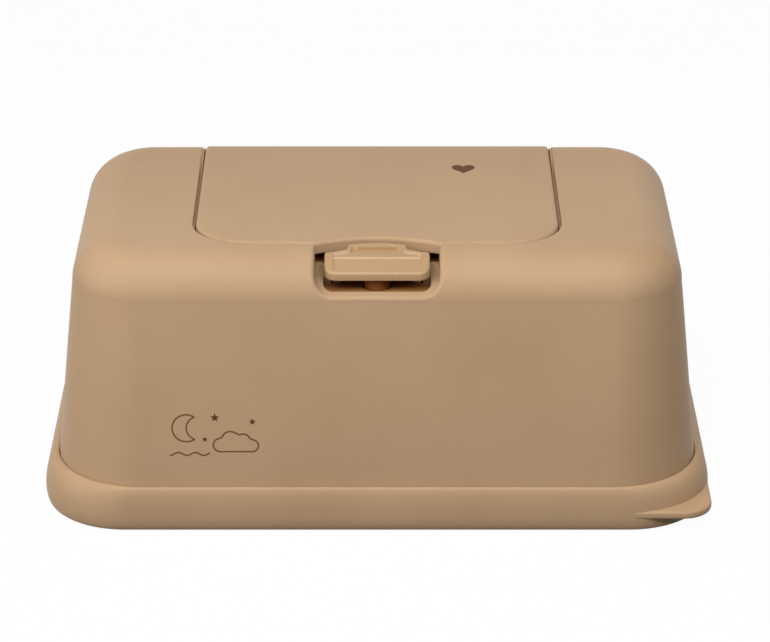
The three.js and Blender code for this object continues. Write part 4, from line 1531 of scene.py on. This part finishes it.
@dataclass
class LatchButton:
    """The latch button: a rocker with a sunken pad, a crest, a tongue that rises to the lid, lugs and a nose.

    Attributes:
        skirt_slope: slope of its lower edge in degrees.
        shelf_corner: radius of its rear corners.
        tongue: width of the tongue at its rear end.
        tongue_lap: how far the tongue's outline runs past its ends.
        neck: width of the tongue where it begins.
        neck_reach: from the crest back to there.
        crest_reach: from the front edge back to the crest between the two pads.
        flank: width of the fall from the tongue.
        pad_side: from the button's sides to the pads.
        pad_margin: from every other edge to them.
        pad_flank: width of the fall into them.
        crest_half: half of the crest's width.
        tongue_sink: how much deeper the tongue's pad gets for each millimetre.
        nose_chamfer: the cut of the nose's tip, as a share of its thickness.
        edge_soft: radius of its lower edge.
    """

    hood: HoodShell
    width: float = 33.8
    front_inset: float = 3.8
    front_drop: float = 5.2
    face: float = 2.7
    slope: float = 19.8
    tongue_slope: float = 11.5
    skirt_slope: float = 8.0
    corner: float = 3.7
    shelf_corner: float = 4.2
    arch_gap: float = 1.3
    shelf_drop: float = 2.9
    wall: float = 1.6
    tongue: float = 16.6
    tongue_lap: float = 2.0
    neck: float = 19.8
    neck_reach: float = 4.2
    crest_reach: float = 7.5
    crest_half: float = 0.3
    crest_flank: float = 0.4
    flank: float = 0.9
    pad_margin: float = 1.45
    pad_flank: float = 0.55
    side_flank: float = 0.35
    pad_depth: float = 0.45
    tongue_sink: float = 0.1
    edge_round: float = 0.75
    lug: float = 2.7
    lug_width: float = 2.5
    lug_gap: float = 0.8
    nose: float = 1.5
    nose_width: float = 12.0
    nose_drop: float = 7.6
    nose_gap: float = 0.3
    nose_chamfer: float = 0.2
    coil_reach: float = 2.55
    edge_soft: float = 0.3
    pad_side: float = 2.9
    cup_height: float = 9.0
    cup_gap: float = 0.45
    cup_wall: float = 1.0
    columns: int = 280
    rows: int = 110

    @property
    def front(self) -> float:
        """The button's front edge along Y."""
        return self.front_inset - self.hood.skin.shoulder_y

    @property
    def crest(self) -> float:
        """The crest between the two pads, along Y."""
        return self.front + self.crest_reach

    @property
    def top_front(self) -> float:
        """The height of the front edge."""
        return self.hood.skin.height - self.front_drop

    def outline(self, inset: float) -> Array:
        """The button's outline.

        Args:
            inset: how far it is drawn in.

        Returns:
            Round corners, and a rear edge along the lid's arch.
        """
        plan = self.hood.lid
        half, front = self.width / 2 - inset, self.front + inset
        radius, rear_radius = self.corner - inset / 2, self.shelf_corner - inset / 2
        arch = plan.arch - self.arch_gap - inset
        sweep = math.degrees(math.asin((half - rear_radius) / (arch - rear_radius)))
        rear_y = plan.arch_y + (arch - rear_radius) * math.cos(math.radians(sweep))
        runs = [
            lower_corners(half, front, radius, 24),
            arc(half - rear_radius, rear_y, rear_radius, 0, 90 - sweep, 24),
            arc(0, plan.arch_y, arch, 90 - sweep, 90 + sweep, 60),
            arc(-half + rear_radius, rear_y, rear_radius, 90 + sweep, 180, 24),
        ]
        return distinct(np.concatenate(runs), True)

    def span(self, x: Array, inset: float) -> tuple[Array, Array]:
        """The front and rear ends of the outline at places along X.

        Args:
            x: the places.
            inset: how far the outline is drawn in.

        Returns:
            The front edge less its corner circle's rise, and the arch or, past its end, the rear corner's
            circle: each circle's height over a place is the root of its radius squared less the distance squared.
        """
        plan = self.hood.lid
        half, front = self.width / 2 - inset, self.front + inset
        radius, rear_radius = self.corner - inset / 2, self.shelf_corner - inset / 2
        arch = plan.arch - self.arch_gap - inset
        away = np.maximum(np.abs(x) - (half - radius), 0.0)
        near = front + radius - np.sqrt(np.maximum(radius**2 - away**2, 0.0))
        middle = (half - rear_radius) / (arch - rear_radius)
        rear_y = plan.arch_y + (arch - rear_radius) * math.sqrt(1 - middle**2)
        beyond = np.abs(x) - (half - rear_radius)
        corner = rear_y + np.sqrt(np.maximum(rear_radius**2 - beyond**2, 0.0))
        on_arch = plan.arch_y + np.sqrt(arch**2 - x**2)
        return near, np.where(np.abs(x) > middle * arch, corner, on_arch)

    def grid(self, inset: float) -> Array:
        """Places in plan that fill the outline: columns along X, rows from front to rear, both denser at the edge.

        Args:
            inset: how far the outline is drawn in.

        Returns:
            An array of column by row by coordinate, spaced by the sine of an even run of angles.
        """
        swing = np.sin(np.linspace(-math.pi / 2, math.pi / 2, self.columns))
        share = 0.5 + 0.5 * np.sin(np.linspace(-math.pi / 2, math.pi / 2, self.rows))
        x = (self.width / 2 - inset) * swing
        near, far = self.span(x, inset)
        y = near[:, None] + share[None, :] * (far - near)[:, None]
        return np.stack([np.broadcast_to(x[:, None], y.shape), y], -1)

    @staticmethod
    def distance(points: Array, loop: Array) -> Array:
        """Signed distance to a closed loop, positive inside.

        Args:
            points: places in plan.
            loop: the loop's corners.

        Returns:
            The least distance to any side, each found by clamping the foot of the perpendicular to the
            side, with the sign of an even or odd count of sides crossed by a ray along X.
        """
        start, end = loop, np.roll(loop, -1, axis=0)
        side = end - start
        away = points[:, None] - start[None]
        share = np.clip((away * side).sum(-1) / (side**2).sum(-1), 0, 1)
        least = np.linalg.norm(away - share[..., None] * side, axis=-1).min(axis=1)
        crosses = (start[:, 1] > points[:, 1:]) != (end[:, 1] > points[:, 1:])
        rise = np.where(side[:, 1] == 0, 1e-12, side[:, 1])
        at = start[:, 0] + (points[:, 1:] - start[:, 1]) / rise * side[:, 0]
        inside = (crosses & (points[:, :1] < at)).sum(axis=1) % 2 == 1
        return np.where(inside, least, -least)

    def tongue_plan(self) -> Array:
        """The raised part in plan.

        Returns:
            Full width to the crest, then flanks that close in on the tongue.
        """
        neck_y, rear, side = self.crest + self.neck_reach, self.hood.lid.arch_rear, self.width
        lap = self.tongue_lap
        right = [[side, self.crest - lap], [self.neck / 2, neck_y], [self.tongue / 2, rear + lap]]
        left = [[-x, y] for x, y in reversed(right)]
        return np.array([[-side, self.front - OVERRUN], [side, self.front - OVERRUN], *right, *left])

    def slope_at(self, y: Array) -> Array:
        """The height of the sloping top.

        Args:
            y: places along Y.

        Returns:
            One slope up to the crest and a gentler one past it.
        """
        before = np.minimum(y, self.crest) - self.front
        past = np.maximum(y - self.crest, 0.0)
        return (
            self.top_front
            + math.tan(math.radians(self.slope)) * before
            + math.tan(math.radians(self.tongue_slope)) * past
        )

    def top_height(self, points: Array) -> Array:
        """The height of the button's top at places in plan.

        Args:
            points: the places, one row each.

        Returns:
            The slope where the raised part lies, falling to the shelf over a short flank. The pads sink
            by a smooth step of the distance to the nearest edge, but for the crest between them, and the
            tongue's pad sinks further in proportion to the distance behind the crest. Towards every edge
            the height falls on a quarter circle.
        """
        edge = self.distance(points, self.outline(0.0))
        flank = self.distance(points, self.tongue_plan())
        shelf = self.hood.skin.height - self.shelf_drop
        slope = self.slope_at(points[:, 1])
        lift = smooth_step(flank / self.flank + 0.5)
        height = np.minimum(slope, shelf) + lift * np.maximum(slope - shelf, 0.0)
        room = np.minimum(edge, np.where(slope > shelf, flank, edge))
        from_crest = np.abs(points[:, 1] - self.crest)
        from_side = self.width / 2 - self.pad_side - np.abs(points[:, 0])
        pad = smooth_step((room - self.pad_margin) / self.pad_flank)
        pad *= smooth_step((from_crest - self.crest_half) / self.crest_flank)
        pad *= smooth_step(from_side / self.side_flank + 0.5)
        inner = np.clip(self.edge_round - np.maximum(edge, 0.0), 0.0, self.edge_round)
        fall = self.edge_round - np.sqrt(np.maximum(self.edge_round**2 - inner**2, 0.0))
        depth = self.pad_depth + self.tongue_sink * np.maximum(points[:, 1] - self.crest, 0.0)
        return height - depth * pad - fall

    def cap(self) -> Solid:
        """The button's cap as one closed surface.

        Returns:
            A grid over the top, a wall down from its border with a softened lower edge, and a second grid
            under the cap, drawn in by the wall thickness.
        """
        outer, inner = self.grid(0.0), self.grid(self.wall)
        top = raised(outer, self.top_height(outer.reshape(-1, 2)).reshape(outer.shape[:2]))
        number = np.arange(self.columns * self.rows).reshape(self.columns, self.rows)
        border = np.concatenate([number[:-1, 0], number[-1, :-1], number[:0:-1, -1], number[0, :0:-1]])
        edge, within = outer.reshape(-1, 2)[border], inner.reshape(-1, 2)[border]
        foot = self.top_front - self.face + math.tan(math.radians(self.skirt_slope)) * (edge[:, 1] - self.front)
        rings = 5
        turn = np.radians(np.linspace(0, 90, rings))[:, None]
        drawn = self.edge_soft / self.wall * (1 - np.cos(turn))
        ring = edge[None] + drawn[..., None] * (within - edge)[None]
        wall = raised(ring, foot[None] + self.edge_soft * (1 - np.sin(turn)))
        ceiling = self.slope_at(inner[..., 1]) - self.wall
        flank = self.distance(inner.reshape(-1, 2), self.tongue_plan()).reshape(inner.shape[:2])
        shelf = self.hood.skin.height - self.shelf_drop - self.wall
        ceiling = np.where(flank > self.wall / 2, ceiling, np.minimum(ceiling, shelf))
        under = raised(inner, ceiling)
        count = self.columns * self.rows
        quads = np.stack([number[:-1, :-1], number[1:, :-1], number[1:, 1:], number[:-1, 1:]], -1).reshape(-1, 4)
        ladder = np.stack([border, *(count + np.arange(rings)[:, None] * len(border) + np.arange(len(border)))])
        ladder = np.concatenate([ladder, border[None] + count + rings * len(border)])
        onward = np.roll(ladder, -1, axis=1)
        strips = np.stack([ladder[:-1], ladder[1:], onward[1:], onward[:-1]], -1).reshape(-1, 4)
        points = np.concatenate([top.reshape(-1, 3), wall.reshape(-1, 3), under.reshape(-1, 3)])
        return Solid(points, [quads, strips, quads[:, ::-1] + count + rings * len(border)]).outward()

    def lug_plate(self, side: Side) -> Mesh:
        """One lug.

        Args:
            side: left or right.

        Returns:
            A plate down from the cap to an eye on the pin.
        """
        y, z = self.hood.button_pivot
        outer = side.value * (self.hood.well_width / 2 - self.lug_gap)
        x0, x1 = sorted((outer, outer - side.value * self.lug_width))
        top = self.hood.skin.height - self.shelf_drop - self.wall / 2
        plate = box(x0, x1, y - self.lug, y + self.lug, z, top)
        return carve(
            plate,
            (KEEP, prism(self.outline(self.wall / 2), z - OVERRUN, self.hood.skin.height)),
            (ADD, bar(self.lug, x0, x1, y, z)),
        )

    def hook(self) -> Solid:
        """The nose.

        Returns:
            A hook down from the tongue whose lip stops just short of the lid's catch.
        """
        tip = self.hood.lid.arch_rear - self.hood.lid.catch_reach - self.nose_gap
        bottom = self.hood.skin.height - self.nose_drop
        top = float(self.slope_at(np.array(tip))) - self.wall / 2
        thick, chamfer = self.nose, self.nose_chamfer * self.nose
        profile = np.array([
            [tip - 2 * thick, bottom], [tip - chamfer, bottom], [tip, bottom + chamfer],
            [tip, bottom + thick / 2], [tip - thick, bottom + 2 * thick], [tip - thick, top], [tip - 2 * thick, top],
        ])
        return along_x(profile, -self.nose_width / 2, self.nose_width / 2)

    def spring_cup(self) -> Mesh:
        """The cup and spigot round and in the button's spring.

        Returns:
            A tube and a rod whose upper ends follow the slope in the cap.
        """
        coil_y = self.hood.coil_y
        inside = self.coil_reach + self.cup_gap
        outside = inside + self.cup_wall
        low = float(self.slope_at(np.array(coil_y))) - self.wall - self.cup_height
        reach = np.array([coil_y - outside - 1, self.crest, coil_y + outside + 1])
        roof = np.stack([reach, self.slope_at(reach) - self.wall / 2], -1)
        below = np.array([[reach[-1], low - OVERRUN], [reach[0], low - OVERRUN]])
        wedge = along_x(np.concatenate([roof, below]), -outside - 1, outside + 1)
        high = self.hood.skin.height
        return carve(
            post(outside, 0, coil_y, low, high),
            (CUT, post(inside, 0, coil_y, low - OVERRUN, high + OVERRUN)),
            (ADD, post(self.hood.spigot, 0, coil_y, low + self.cup_height - self.hood.spigot_height, high)),
            (KEEP, wedge),
        )

    def build(self, finish: Material, painted_shade_finish: Material) -> None:
        """Makes the button and its spring cup and puts them on their body.

        Args:
            finish: the button's material.
            painted_shade_finish: the cup's material, a dark brown that paints the shade under the button.
        """
        y, z = self.hood.button_pivot
        half = self.width / 2
        button = carve(
            self.cap(),
            *((ADD, self.lug_plate(side)) for side in Side),
            (ADD, self.hook()),
            (CUT, bar(self.hood.button_pin + self.hood.running, -half, half, y, z)),
        )
        place("rocker_button", button, finish, Body.BUTTON, ["latch_button"], crease=38.0)
        # The cup's dark brown material is painted shade under the button.
        place("button_cup_painted_shade", self.spring_cup(), painted_shade_finish, Body.BUTTON)


@dataclass
class Hardware:
    """Seals, pins and springs.

    Attributes:
        lid_coil: radius of the lid springs' turns, at the wire's middle.
        lid_pitch: how far they climb in one turn.
        hood_leg: length of the leg that rests on the hood.
        hood_leg_angle: where that leg leaves the coil, in degrees.
        leg_lead: from the coil's end to the leg's first point.
        coil_close: share of the button spring that is wound close at each end.
        coil_ease: share over which the turns open up.
        coil_climb: share of its height that it climbs over those two stretches.
    """

    hood: HoodShell
    lid: LidShell
    tray: TrayShell
    button: LatchButton
    gasket_height: float = 1.3
    gasket_round: float = 0.45
    seal_round: float = 0.5
    hinge_rod_round: float = 0.3
    button_rod_round: float = 0.25
    lid_wire: float = 0.8
    lid_coil: float = 2.15
    lid_pitch: float = 1.3
    lid_turns: int = 4
    lid_turn_steps: int = 40
    lid_place: float = 32.0
    hood_leg: float = 6.8
    lid_leg: float = 9.3
    leg_lead: float = 0.3
    hood_leg_angle: float = -78.0
    lid_leg_angle: float = 53.0
    button_wire: float = 0.5
    button_coil: float = 2.3
    button_turns: int = 7
    button_turn_steps: int = 44
    coil_close: float = 0.07
    coil_ease: float = 0.2
    coil_climb: float = 0.41

    def build_seals(self, finish: Material) -> None:
        """Makes the gasket in the tray's channel and the lid's seal round the opening.

        Args:
            finish: the silicone's material.
        """
        skin, gap = self.hood.skin, self.tray.seat_gap
        foot = self.tray.floor_top + gap
        gasket = ring_wall(
            skin.plan(0.0), skin.plan(skin.wall - gap / 2), foot, foot + self.gasket_height, self.gasket_round
        )
        place("tray_gasket", gasket, finish, Body.BASE, ["base_gasket"])
        top, low = self.lid.underside - gap, self.hood.deck_top + self.hood.land_height + gap
        seal = ring_wall(
            self.hood.opening.plan(self.hood.land_width), self.hood.opening.plan(0), -top, -low, self.seal_round
        )
        place("opening_seal", seal.upside_down(), finish, Body.LID, ["lid_seal"])

    def build_pins(self, finish: Material, painted_shade_finish: Material) -> None:
        """Makes the two pins, with rounded ends.

        Args:
            finish: the hinge pin's steel.
            painted_shade_finish: the button pin's steel, darkened to paint the shade in the well.
        """
        y, z = self.hood.lid.hinge
        end = self.hood.lid.width / 2 + self.hood.lid.side_gap + self.hood.skin.wall
        pin = turned_bar(self.hood.pin, -end, end, y, z, self.hinge_rod_round)
        place("hinge_rod", pin, finish, Body.HOOD, ["hinge_pin"])
        y, z = self.hood.button_pivot
        end = self.hood.well_width / 2 + self.hood.skin.wall
        pin = turned_bar(self.hood.button_pin, -end, end, y, z, self.button_rod_round)
        place("button_rod", pin, painted_shade_finish, Body.HOOD, ["button_pin"])

    def torsion_path(self, side: Side) -> Array:
        """The centre line of a lid spring.

        Args:
            side: the end of the lid that it serves.

        Returns:
            Points in space: a straight leg, turns about the pin that climb by the pitch, and a second leg.
            Each leg runs along the tangent of the coil's end.
        """
        start = math.radians(self.hood_leg_angle)
        sweep = math.radians(self.lid_leg_angle) - start + FULL * self.lid_turns
        angle = start + np.linspace(0, sweep, self.lid_turn_steps * self.lid_turns)
        along = self.lid_place + self.lid_pitch * (angle - start) / FULL
        coil = np.stack([along, self.lid_coil * np.cos(angle), self.lid_coil * np.sin(angle)], -1)
        heading = np.stack([np.zeros(2), -np.sin(angle[[0, -1]]), np.cos(angle[[0, -1]])], -1)
        first = coil[0] - heading[0] * np.linspace(self.hood_leg, self.leg_lead, 8)[:, None]
        last = coil[-1] + heading[1] * np.linspace(self.leg_lead, self.lid_leg, 10)[:, None]
        y, z = self.hood.lid.hinge
        path = np.concatenate([first, coil, last]) * np.array([side.value, 1, 1])
        return path + np.array([0.0, y, z])

    def build_springs(self, finish: Material) -> None:
        """Makes the two lid springs and the button's spring.

        Args:
            finish: their steel.
        """
        for side, name in ((Side.LEFT, "left"), (Side.RIGHT, "right")):
            coil = wire(self.torsion_path(side), self.lid_wire, (1, 0, 0))
            piece = place(f"torsion_spring_{name}", coil, finish, None, [f"lid_spring_{name}"])
            y, z = self.hood.lid.hinge
            ends = [self.lid_place, self.lid_place + self.lid_turns * self.lid_pitch]
            start, end = ((side.value * x * METRE, y * METRE, z * METRE) for x in ends)
            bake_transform(piece)
        gap = self.tray.seat_gap
        low = self.hood.well_floor + gap + self.button_wire / 2
        coil_front = np.array(self.hood.coil_y - self.button_coil)
        high = float(self.button.slope_at(coil_front)) - self.button.wall - gap - self.button_wire / 2
        share = np.linspace(0, 1, self.button_turn_steps * self.button_turns)
        angle = share * FULL * self.button_turns
        starts = (self.coil_close, 1 - self.coil_close - self.coil_ease)
        opened = sum(smooth_step((share - start) / self.coil_ease) for start in starts) / 2
        level = self.coil_climb * opened + (1 - self.coil_climb) * share
        across, along = self.button_coil * np.cos(angle), self.hood.coil_y + self.button_coil * np.sin(angle)
        path = np.stack([across, along, low + (high - low) * level], -1)
        coil = wire(path, self.button_wire, (0, 0, 1))
        piece = place("button_coil", coil, finish, None, ["button_spring"])
        start, end = ((0.0, self.hood.coil_y * METRE, level * METRE) for level in (low, high))
        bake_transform(piece)


@dataclass
class Prints:
    """The prints: a small heart on the lid, and a moon, a cloud and stars in line on the front wall.

    Attributes:
        film: how far the ink stands off the plastic.
        root: how far it reaches into it.
    """

    skin: Skin
    lid_top: float
    stroke: float = 0.5
    film: float = 0.04
    root: float = 0.3
    heart_place: tuple[float, float] = (29.2, 23.0)
    heart_size: float = 7.8

    def on_wall(self, flat: Array, lift: float) -> Array:
        """Places on the front wall, X and height, as points in space that stand off by a lift."""
        y = self.skin.depth / 2 - self.skin.draft * (flat[..., 1] - self.skin.seam) + lift
        return np.stack([flat[..., 0], -y, flat[..., 1]], -1)

    def line(self, path: Array, closed: bool = False) -> Solid:
        """A printed line on the wall.

        Args:
            path: its middle, in X and height.
            closed: whether it joins its own start.

        Returns:
            A thin flat strip carried along the path.
        """
        right = outline_normals(path, closed) * self.stroke / 2
        near, far = path - right, path + right
        corners = ((near, -self.root), (near, self.film), (far, self.film), (far, -self.root))
        return carried(np.stack([self.on_wall(*corner) for corner in corners], axis=1), closed)

    def patch(self, outline: Array) -> Solid:
        """A printed area on the wall: a closed outline with a thickness."""
        return carried(np.stack([self.on_wall(outline, -self.root), self.on_wall(outline, self.film)]))

    @staticmethod
    def star(x: float, y: float, radius: float) -> Array:
        """A five-pointed star.

        Args:
            x: its middle along X.
            y: its height.
            radius: its outer radius.

        Returns:
            Ten points at even angles whose radius alternates.
        """
        number, waist = np.arange(10), 0.45
        angle = np.radians(90 + 36 * number)
        reach = radius * np.where(number % 2 == 0, 1.0, waist)
        return np.stack([x + reach * np.cos(angle), y + reach * np.sin(angle)], -1)

    @staticmethod
    def crescent(x: float, y: float, radius: float) -> Array:
        """A crescent.

        Args:
            x: its middle along X.
            y: its height.
            radius: its outer radius.

        Returns:
            An outer arc and an inner arc about a shifted centre, with the same two ends.
        """
        outer = arc(x, y, radius, 55, 305, 40)
        gap = outer[0] - outer[-1]
        middle, half = (outer[0] + outer[-1]) / 2, np.linalg.norm(gap) / 2
        shift = 0.35 * half
        swing = math.degrees(math.atan2(half, -shift))
        inner = arc(middle[0] + shift, y, math.hypot(shift, half), 360 - swing, swing, 40)
        return distinct(np.concatenate([outer, inner]), True)

    @staticmethod
    def cloud(x: float, y: float, size: float) -> Array:
        """A cloud.

        Args:
            x: its middle along X.
            y: its height.
            size: about a third of its width.

        Returns:
            Arcs of two bumps and two round ends over a flat base.
        """
        bumps = (
            (-0.95, 0.42, 0.42, 270, 110),
            (-0.35, 0.78, 0.5, 165, 60),
            (0.42, 0.7, 0.42, 120, 20),
            (0.95, 0.38, 0.38, 80, -90),
        )
        runs = [
            arc(x + across * size, y + up * size, radius * size, start, end, 16)
            for across, up, radius, start, end in bumps
        ]
        return distinct(np.concatenate(runs), True)

    def heart(self, x: float, y: float, size: float) -> Solid:
        """A plain heart on the lid.

        Args:
            x: its middle along X.
            y: its middle along Y.
            size: its width.

        Returns:
            A prism: sixteen cubes of a sine across, and four cosines along.
        """
        turn = np.linspace(0, FULL, 97)[:-1]
        across = 16 * np.sin(turn) ** 3
        along = 13 * np.cos(turn) - 5 * np.cos(2 * turn) - 2 * np.cos(3 * turn) - np.cos(4 * turn)
        outline = np.stack([x + size * across / 32, y + size * (along + 2.5) / 29], -1)
        return prism(outline, self.lid_top - self.root, self.lid_top + self.film)

    def build(self, line_ink: Material, dark_ink: Material) -> None:
        """Makes the prints and puts them on their bodies.

        Args:
            line_ink: the thin lines' material.
            dark_ink: the filled shapes' material.
        """
        place("heart_print", self.heart(*self.heart_place, self.heart_size), dark_ink, Body.LID)
        along = np.linspace(-67, -54, 40)
        lines = {
            "moon_print": (self.crescent(-61.5, 36.0, 4.6), True),
            "cloud_print": (self.cloud(-45.5, 28.0, 5.4), True),
            "swell_print": (np.stack([along, 27.2 + 0.5 * np.sin(along * 1.15)], -1), False),
        }
        for name, (path, closed) in lines.items():
            place(name, self.line(path, closed), line_ink, Body.HOOD)
        stars = {
            "star_print_a": (-52.3, 39.6, 1.5),
            "star_print_b": (-40.2, 38.2, 1.15),
            "star_print_c": (-55.6, 32.2, 0.95),
        }
        for name, spot in stars.items():
            place(name, self.patch(self.star(*spot)), dark_ink, Body.HOOD)


# Studio


@dataclass(frozen=True)
class Lamp:
    """A soft rectangular lamp that looks at the box, with its sizes in metres and its power in watts.

    Attributes:
        azimuth: direction round the box in degrees, 0 in front and positive to the right.
        elevation: height above the horizon in degrees.
        mirrored: whether glossy surfaces mirror it.
    """

    name: str
    azimuth: float
    elevation: float
    distance: float
    width: float
    height: float
    power: float
    mirrored: bool = True

    def build(self, target: Vector) -> None:
        """Hangs the lamp at its place.

        Args:
            target: the point that it is turned to.
        """
        turn, rise = math.radians(self.azimuth), math.radians(self.elevation)
        away = Vector((math.sin(turn) * math.cos(rise), -math.cos(turn) * math.cos(rise), math.sin(rise)))
        light = bpy.data.lights.new(self.name, "AREA")
        light.shape, light.size, light.size_y, light.energy = "RECTANGLE", self.width, self.height, self.power
        lamp = bpy.data.objects.new(self.name, light)
        lamp.location = target + away * self.distance
        lamp.rotation_euler = away.to_track_quat("Z", "Y").to_euler()
        lamp.visible_glossy = self.mirrored
        bpy.context.scene.collection.objects.link(lamp)


@dataclass
class Studio:
    """Floor, world, lamps and camera.

    Attributes:
        tilt: how far the camera looks down, in degrees.
        distance: from the camera to the point that it looks at, in millimetres.
        target_height: height of that point.
        shift: the framing's shift, as a share of the picture's width.
        ambient: strength of the even light from all around.
        shadow: how much of the floor's own shade the camera sees.
        paper: the floor's tone to the rays that only light.
        clip: the nearest and the farthest distance that it sees, in metres.
    """

    tilt: float = 24.46
    distance: float = 1079.0
    target_height: float = 46.4
    lens: float = 149.118
    shift: float = 0.0103
    ambient: float = 0.015
    shadow: float = 0.04
    paper: float = 0.14
    paper_roughness: float = 0.9
    floor_reach: float = 4000.0
    sensor: float = 36.0
    clip: tuple[float, float] = (0.01, 20.0)
    lamps: tuple[Lamp, ...] = (
        Lamp("key_lamp", 0.0, 50.0, 0.55, 1.3, 0.25, 3.5),
        Lamp("top_lamp", 0.0, 66.0, 1.5, 1.1, 0.8, 4.8),
        Lamp("left_lamp", -35.0, 66.0, 1.5, 1.1, 0.8, 2.8),
        Lamp("side_lamp", -70.0, 12.0, 1.5, 1.1, 0.8, 8.6),
        Lamp("rear_lamp", 168.0, 14.0, 1.5, 1.1, 0.8, 5.5, False),
    )

    def camera(self) -> None:
        """Sets up the camera: level across, tilted down, and looking at the middle of the box."""
        tilt = math.radians(self.tilt)
        data = bpy.data.cameras.new("camera")
        data.lens, data.sensor_width, data.shift_x = self.lens, self.sensor, self.shift
        data.dof.use_dof = False
        data.clip_start, data.clip_end = self.clip
        camera = bpy.data.objects.new("camera", data)
        reach = self.distance * METRE
        height = self.target_height * METRE
        camera.location = (0.0, -reach * math.cos(tilt), height + reach * math.sin(tilt))
        camera.rotation_euler = (math.pi / 2 - tilt, 0.0, 0.0)
        bpy.context.scene.collection.objects.link(camera)
        bpy.context.scene.camera = camera

    @staticmethod
    def seen_directly(tree: bpy.types.NodeTree) -> bpy.types.NodeSocket:
        """A value that tells how a ray came.

        Args:
            tree: the tree that gets the nodes.

        Returns:
            One for camera, glossy and transmission rays and zero for all others.
        """
        path = shader_node(tree, "LightPath", {})
        seen = path.outputs["Is Camera Ray"]
        for ray in ("Is Glossy Ray", "Is Transmission Ray"):
            either = shader_node(tree, "Math", {})
            either.operation = "MAXIMUM"
            tree.links.new(seen, either.inputs[0])
            tree.links.new(path.outputs[ray], either.inputs[1])
            seen = either.outputs[0]
        return seen

    def world(self) -> None:
        """Sets up the world: white where it is seen, an even soft light elsewhere."""
        world = bpy.data.worlds.new("studio")
        bpy.context.scene.world = world
        world.use_nodes = True
        tree = world.node_tree
        tree.nodes.clear()
        lit = shader_node(tree, "Background", {"Color": WHITE, "Strength": self.ambient})
        seen = shader_node(tree, "Background", {"Color": WHITE, "Strength": 1.0})
        mix, out = shader_node(tree, "MixShader", {}), shader_node(tree, "OutputWorld", {})
        for number, socket in enumerate((self.seen_directly(tree), lit.outputs[0], seen.outputs[0])):
            tree.links.new(socket, mix.inputs[number])
        tree.links.new(mix.outputs[0], out.inputs["Surface"])

    def floor(self) -> None:
        """Lays the floor: white to the camera with a trace of the box's shadow, pale paper to other rays."""
        corners = self.floor_reach * np.array([[-1, -1, 0], [1, -1, 0], [1, 1, 0], [-1, 1, 0]])
        sheet = Solid(corners, [np.arange(4)[None]]).mesh("studio_floor")
        material = bpy.data.materials.new("studio_paper")
        material.use_nodes = True
        tree = material.node_tree
        paper = tree.nodes["Principled BSDF"]
        paper.inputs["Roughness"].default_value = self.paper_roughness
        glow = shader_node(tree, "Emission", {"Strength": 1.0})
        tone, share, mix = (shader_node(tree, kind, {}) for kind in ("Mix", "Math", "MixShader"))
        tone.data_type = "RGBA"
        tone.inputs["A"].default_value = (self.paper, self.paper, self.paper, 1.0)
        tone.inputs["B"].default_value = WHITE
        share.operation = "MULTIPLY"
        share.inputs[1].default_value = 1.0 - self.shadow
        seen = self.seen_directly(tree)
        for source, target in (
            (seen, tone.inputs["Factor"]),
            (tone.outputs["Result"], paper.inputs["Base Color"]),
            (seen, share.inputs[0]),
            (share.outputs[0], mix.inputs[0]),
            (paper.outputs[0], mix.inputs[1]),
            (glow.outputs[0], mix.inputs[2]),
            (mix.outputs[0], tree.nodes["Material Output"].inputs["Surface"]),
        ):
            tree.links.new(source, target)
        sheet.materials.append(material)
        ground = bpy.data.objects.new("studio_floor", sheet)
        bpy.context.scene.collection.objects.link(ground)

    def build(self) -> None:
        """Sets up everything round the box."""
        bpy.context.scene.view_settings.view_transform = "Standard"
        self.camera()
        self.world()
        self.floor()
        for lamp in self.lamps:
            lamp.build(Vector((0.0, 0.0, self.target_height * METRE)))


def main() -> None:
    """Builds the studio and every sub-assembly, in order."""
    logging.basicConfig(level=logging.INFO, format="%(name)s %(message)s")
    palette = Palette()
    Studio().build()
    hood = HoodShell()
    lid, tray, button = LidShell(hood), TrayShell(hood.skin), LatchButton(hood)
    shell = palette.shell.material()
    hood.build(shell, palette.insert.material())
    lid.build(palette.lid.material())
    tray.build(shell)
    tray.build_feet(palette.rubber.material())
    button.build(palette.button.material(), palette.cup.material())
    hardware = Hardware(hood, lid, tray, button)
    hardware.build_seals(palette.silicone.material())
    steel = palette.steel.material()
    hardware.build_pins(steel, palette.painted_shade_steel.material())
    hardware.build_springs(steel)
    Prints(hood.skin, lid.top).build(palette.line_ink.material(), palette.dark_ink.material())


if __name__ == "__main__":
    main()
